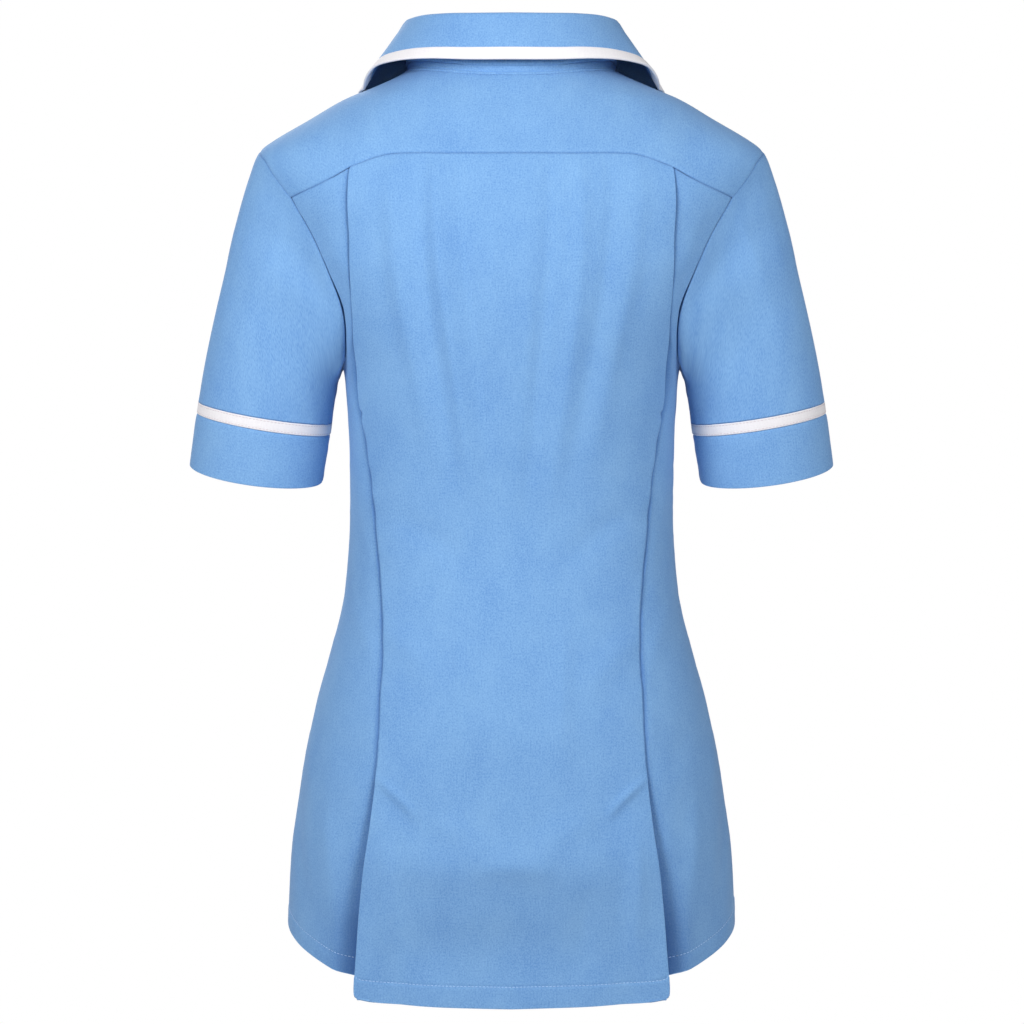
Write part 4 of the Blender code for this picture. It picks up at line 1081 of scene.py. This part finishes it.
def collar_binding_strip(fall, normals):
    """The tape that is folded over the front ends and the lower edge of the collar, mitred at its points."""
    rows, columns = fall.shape[:2]
    length = run(fall, 0)[-1]
    side = run(fall, 1)
    width = side[:, -1] / 2
    spot = side / side[:, -1:] * 2 - 1

    def read(u, v):
        """A point and direction of the fall at u from -1 to 1 across and v from 0 to 1 down."""
        j = v * (rows - 1)
        low = np.minimum(j.astype(int), rows - 2)
        f = (j - low)[..., None]
        found = []
        for values in (fall, normals):
            picked = []
            for row in (low, low + 1):
                column = np.array([np.interp(a, spot[b], np.arange(columns)) for a, b in zip(u, row)])
                i = np.minimum(column.astype(int), columns - 2)
                g = (column - i)[..., None]
                picked.append(values[row, i] * (1 - g) + values[row, i + 1] * g)
            found.append(picked[0] * (1 - f) + picked[1] * f)
        return found[0], unit(found[1])

    ends = np.linspace(0, 1, 26)
    u_path = np.concatenate([np.full(25, -1.0), spot[-1], np.full(25, 1.0)])
    v_path = np.concatenate([ends[:-1], np.ones(columns), ends[:-1][::-1]])
    half = np.interp(v_path, np.linspace(0, 1, rows), width)
    drop = np.interp(u_path, spot[-1], length)
    strip = []

    def row_at(distance, out):
        u = u_path * (1 - distance / half)
        v = v_path * (1 - distance / drop)
        point, normal = read(u, v)
        strip.append(point + normal * out)

    for distance, out in BINDING_ROWS:
        row_at(distance, out)
    edge, normal = read(u_path, v_path)
    inner, _ = read(u_path * (1 - 1 / half), v_path * (1 - 1 / drop))
    outward = unit(edge - inner)
    middle = (COLLAR_WALL + BINDING_RAISE * 2) / 2
    for degrees in (90, 60, 30, 0, -30, -60, -90):
        arc = math.radians(degrees)
        strip.append(edge + normal * (BINDING_RAISE - middle + middle * math.sin(arc))
                     + outward * (middle * math.cos(arc)))
    for distance in (1, 3, 6, 9):
        row_at(distance, -COLLAR_WALL - BINDING_RAISE)
    return np.array(strip)


def make_collar(looks):
    """The turned collar and its white binding."""
    grid, fall_start = collar_grid()
    neck, edge, left, _ = from_edges(grid)
    along = left - left[:, -1:] / 2
    neck = neck - NECK_TUCK
    out = STRIP_HEIGHT * (ease((neck + 0.2) / 0.8) - ease((neck - NECK_STRIP) / 0.5))
    out = out + STRIP_PUCKER * bell(neck - NECK_STRIP / 2, 4) * wander(along, neck, 8, 12, 71)
    low, high = STRIP_STITCHES
    out = out - 0.35 * bell(neck - high, 0.7) - 0.3 * bell(neck - low, 0.7)
    fall = (np.arange(len(grid)) >= fall_start)[:, None]
    out = out + WANDER * wander(along, neck, 55, 40, 72) * ease(edge / 14) * fall
    grid = lifted(grid, out)
    cloth("collar", [grid], looks, wall=COLLAR_WALL)
    binding = collar_binding_strip(grid[fall_start:], grid_normals(grid)[fall_start:])
    cloth("collar_binding", [binding], looks, "binding", BINDING_WALL)
    rows = [hem_line(grid[:fall_start][::-1], NECK_TUCK + depth) for depth in STRIP_STITCHES]
    stitch("collar_stand", [(line, -normal) for line, normal in rows], looks)


def stitch_mesh_data(line, normals):
    """Points and faces of a row of stitches along a line on the cloth."""
    length = run(line[None], 1)[0]
    count = int(length[-1] / STITCH_PITCH)
    middles = (np.arange(count) + 0.5) * length[-1] / count

    def read(values, spots):
        return np.stack([np.interp(spots, length, values[:, k]) for k in range(3)], 1)

    middle = read(line, middles)
    normal = unit(read(normals, middles))
    along = unit(read(line, middles + 0.5) - read(line, middles - 0.5))
    beside = unit(np.cross(along, normal))
    sides = 5
    turns = np.arange(sides) * 2 * math.pi / sides
    points = []
    for share, size, lift in STITCH_RINGS:
        for turn in turns:
            points.append(middle + along * (share * STITCH_LENGTH)
                          + beside * (THREAD * size * math.cos(turn))
                          + normal * (THREAD * (size * math.sin(turn) + lift) + THREAD_SINK))
    points = np.stack(points, 1)
    cells = []
    for ring in range(3):
        for k in range(sides):
            a = ring * sides + k
            b = ring * sides + (k + 1) % sides
            cells.append((a, b, b + sides, a + sides))
    return points.reshape(-1, 3), [tuple(corner + number * 4 * sides for corner in cell)
                                   for number in range(count) for cell in cells]


def sew(name, rows, look):
    """Joins rows of stitches into one piece."""
    points = []
    faces = []
    base = 0
    for row_points, row_faces in rows:
        points.append(row_points)
        faces.extend(tuple(corner + base for corner in face) for face in row_faces)
        base += len(row_points)
    points = np.concatenate(points) * MM
    mesh = bpy.data.meshes.new(name)
    mesh.from_pydata(points.tolist(), [], faces)
    layer = mesh.uv_layers.new(name="cloth")
    corners = np.array(faces).reshape(-1)
    layer.data.foreach_set("uv", points[corners][:, (0, 2)].reshape(-1).astype(np.float32))
    mesh.shade_smooth()
    mesh.materials.append(look)
    piece = add(name, mesh)
    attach(piece, BODY)


def stitch(part, lines, looks, thread="blue_thread"):
    """Sews along lines on the cloth, each given as its points and the directions out of the cloth."""
    sew(f"{part}_stitches", [stitch_mesh_data(*line) for line in lines], looks[thread])


def front_seat(level, out):
    """A place on the middle of the front and its outward direction."""
    angle = np.array(math.pi)
    where = np.array(float(level))
    normal = body_normal(angle, where)
    return body_place(angle, where) + normal * out, normal


def button_mesh():
    """A four-hole button: a raised rim, a dished middle, and its holes cut through."""
    bm = bmesh.new()
    steps = 40
    rings = []
    for radius, height in BUTTON_PROFILE:
        if radius == 0:
            rings.append([bm.verts.new((0, 0, height))])
            continue
        turns = [2 * math.pi * k / steps for k in range(steps)]
        rings.append([bm.verts.new((radius * math.cos(a), radius * math.sin(a), height)) for a in turns])
    for lower, upper in zip(rings, rings[1:]):
        for k in range(steps):
            following = (k + 1) % steps
            if len(lower) == 1:
                bm.faces.new((lower[0], upper[following], upper[k]))
            elif len(upper) == 1:
                bm.faces.new((lower[k], lower[following], upper[0]))
            else:
                bm.faces.new((lower[k], lower[following], upper[following], upper[k]))
    mesh = bpy.data.meshes.new("button_disc")
    bm.to_mesh(mesh)
    bm.free()
    disc = add("button_disc", mesh)
    drills = bmesh.new()
    for x, y in ((1, 1), (-1, 1), (-1, -1), (1, -1)):
        made = bmesh.ops.create_cone(drills, cap_ends=True, segments=16, radius1=HOLE_RADIUS,
                                     radius2=HOLE_RADIUS, depth=8)
        bmesh.ops.translate(drills, verts=made["verts"], vec=(x * HOLE_PLACE, y * HOLE_PLACE, 1))
    drill_mesh = bpy.data.meshes.new("button_drills")
    drills.to_mesh(drill_mesh)
    drills.free()
    drill = add("button_drills", drill_mesh)
    cut = disc.modifiers.new("holes", "BOOLEAN")
    cut.operation = "DIFFERENCE"
    cut.object = drill
    bpy.context.view_layer.update()
    done = bpy.data.meshes.new_from_object(disc.evaluated_get(bpy.context.evaluated_depsgraph_get()))
    bpy.data.objects.remove(disc)
    bpy.data.objects.remove(drill)
    done.name = "four_hole_button"
    done.transform(((MM, 0, 0, 0), (0, MM, 0, 0), (0, 0, MM, 0), (0, 0, 0, 1)))
    done.set_sharp_from_angle(angle=math.radians(40))
    return done


def make_buttons(looks):
    """Six buttons with crossed thread, and their buttonholes in the right front."""
    disc = button_mesh()
    disc.materials.clear()
    disc.materials.append(looks["button"])
    rows = np.linspace(NECK_FRONT[-1][1], FRONT_HEM[-1][1], BUTTON_ROW_CELLS + 1)
    threads = []
    holes = []
    for number in range(BUTTON_COUNT):
        level = rows[FIRST_BUTTON_ROW + number * BUTTON_ROWS_APART]
        seat, normal = front_seat(level, BUTTON_SEAT)
        button = add(f"button_{number + 1}_disc", disc)
        button.location = Vector(seat) * MM
        turned = Vector(normal).to_track_quat("Z", "Y")
        button.rotation_euler = turned.to_euler()
        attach(button, BODY)
        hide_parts(f"button_{number + 1}")
        across = np.array(turned @ Vector((1, 0, 0)))
        up = np.array(turned @ Vector((0, 1, 0)))
        for sign in (1, -1):
            start = seat + (across + up * sign) * HOLE_PLACE
            stop = seat - (across + up * sign) * HOLE_PLACE
            line = np.array([start + (stop - start) * t + normal * (1.9 + 0.5 * math.sin(math.pi * t))
                             for t in np.linspace(0, 1, 9)])
            threads.append(thread_tube(line, normal, BUTTON_THREAD))
        holes.append(buttonhole_loop(level))
    sew("button_threads", threads, looks["white_thread"])
    sew("buttonhole_stitches", holes, looks["blue_thread"])


def thread_tube(line, normal, radius):
    """Points and faces of a round thread along a line."""
    along = unit(np.gradient(line, axis=0))
    beside = unit(np.cross(along, normal))
    over = np.cross(beside, along)
    sides = 8
    points = []
    for k in range(sides):
        turn = 2 * math.pi * k / sides
        points.append(line + (beside * math.cos(turn) + over * math.sin(turn)) * radius)
    points = np.stack(points, 1).reshape(-1, 3)
    faces = []
    for ring in range(len(line) - 1):
        for k in range(sides):
            a = ring * sides + k
            b = ring * sides + (k + 1) % sides
            faces += [(a, a + sides, b + sides), (a, b + sides, b)]
    return points, faces


def buttonhole_loop(level):
    """The close stitches round a buttonhole, which stands upright under its button."""
    length, width = BUTTONHOLE
    points = []
    faces = []
    straight = length - width
    count = BUTTONHOLE_STITCHES
    for number in range(count):
        turn = 2 * math.pi * number / count
        x = width / 2 * 0.62 * math.cos(turn)
        z = straight / 2 * np.sign(math.sin(turn)) * min(1, abs(math.sin(turn)) * 3) + width / 3 * math.sin(turn)
        outward = np.array((math.cos(turn), math.sin(turn) * 0.4))
        outward = outward / np.linalg.norm(outward)
        seat, normal = front_seat(level + z, 0.15)
        right = unit(np.cross(normal, np.array((0.0, 0.0, 1.0))))
        up = np.cross(right, normal)
        middle = seat + right * x
        line = np.array([middle + (right * outward[0] + up * outward[1]) * s + normal * h
                         for s, h in ((-0.75, -0.1), (-0.3, 0.18), (0.3, 0.18), (0.75, -0.1))])
        tube_points, tube_faces = thread_tube(line, normal, HOLE_THREAD)
        faces.extend(tuple(corner + len(points) * 32 for corner in face) for face in tube_faces)
        points.append(tube_points)
    return np.concatenate(points), faces


def make_stage():
    """A plain pale floor where the wearer would stand, and a white surround that lights softly from above."""
    bpy.ops.mesh.primitive_circle_add(vertices=96, radius=FLOOR_RADIUS, fill_type="NGON",
                                      location=(0, 0, FLOOR_LEVEL))
    floor = bpy.context.object
    floor.name = "floor"
    look, tree, shader = new_look("pale_floor")
    place = node(tree, "ShaderNodeTexCoord").outputs["Object"]
    faint = node(tree, "ShaderNodeTexNoise", {"Vector": place, "Scale": 3.0}).outputs["Fac"]
    colour = node(tree, "ShaderNodeMix", {"Factor": faint, "A": srgb("#F4F4F5"), "B": srgb("#F8F8F8")},
                  data_type="RGBA").outputs["Result"]
    tree.links.new(colour, shader.inputs["Base Color"])
    shader.inputs["Roughness"].default_value = 0.9
    shader.inputs["Emission Color"].default_value = (1.0, 1.0, 1.0, 1.0)
    shader.inputs["Emission Strength"].default_value = FLOOR_GLOW
    floor.data.materials.append(look)

    world = bpy.data.worlds.new("pale_surround")
    bpy.context.scene.world = world
    world.use_nodes = True
    tree = world.node_tree
    white = tree.nodes["Background"]
    white.inputs["Color"].default_value = (1.0, 1.0, 1.0, 1.0)
    white.inputs["Strength"].default_value = 1.0
    ways = node(tree, "ShaderNodeTexCoord").outputs["Generated"]
    height = node(tree, "ShaderNodeSeparateXYZ", {"Vector": ways}).outputs["Z"]
    span = {"Value": height, "From Min": -0.6, "From Max": 0.8, "To Min": SURROUND_BELOW,
            "To Max": SURROUND_ABOVE}
    strength = node(tree, "ShaderNodeMapRange", span).outputs["Result"]
    soft = node(tree, "ShaderNodeBackground", {"Color": (1.0, 1.0, 1.0, 1.0), "Strength": strength})
    seen = node(tree, "ShaderNodeLightPath").outputs["Is Camera Ray"]
    # The camera sees white. The cloth is lit by the soft surround.
    both = {0: seen, 1: soft.outputs["Background"], 2: white.outputs["Background"]}
    mixed = node(tree, "ShaderNodeMixShader", both)
    tree.links.new(mixed.outputs["Shader"], tree.nodes["World Output"].inputs["Surface"])


def soft_light(name, place, aim, size, power):
    """A round studio light, in metres and watts."""
    lamp = bpy.data.lights.new(name, "AREA")
    lamp.shape = "DISK"
    lamp.size = size
    lamp.energy = power
    light = add(name, lamp)
    light.location = place
    light.rotation_euler = (Vector(aim) - Vector(place)).to_track_quat("-Z", "Y").to_euler()


def make_camera():
    """A long lens behind the tunic, where the photograph's camera stood."""
    lens = bpy.data.cameras.new("camera")
    lens.lens = SENSOR * FOCAL_PIXELS / PHOTO_PIXELS
    lens.sensor_width = SENSOR
    lens.shift_x = LENS_SHIFT
    camera = add("camera", lens)
    target = Vector(CAMERA_TARGET)
    camera.location = target + Vector((0, math.cos(CAMERA_DROP), math.sin(CAMERA_DROP))) * CAMERA_DISTANCE
    camera.rotation_euler = (target - camera.location).to_track_quat("-Z", "Y").to_euler()
    bpy.context.scene.camera = camera


def main():
    make_camera()
    make_stage()
    for light in LIGHTS:
        soft_light(*light)
    bpy.context.scene.view_settings.view_transform = "Standard"
    looks = make_looks()
    make_yoke(looks)
    make_back_centre(looks)
    make_side_backs(looks)
    make_fronts(looks)
    make_sleeves(looks)
    make_collar(looks)
    make_buttons(looks)


main()
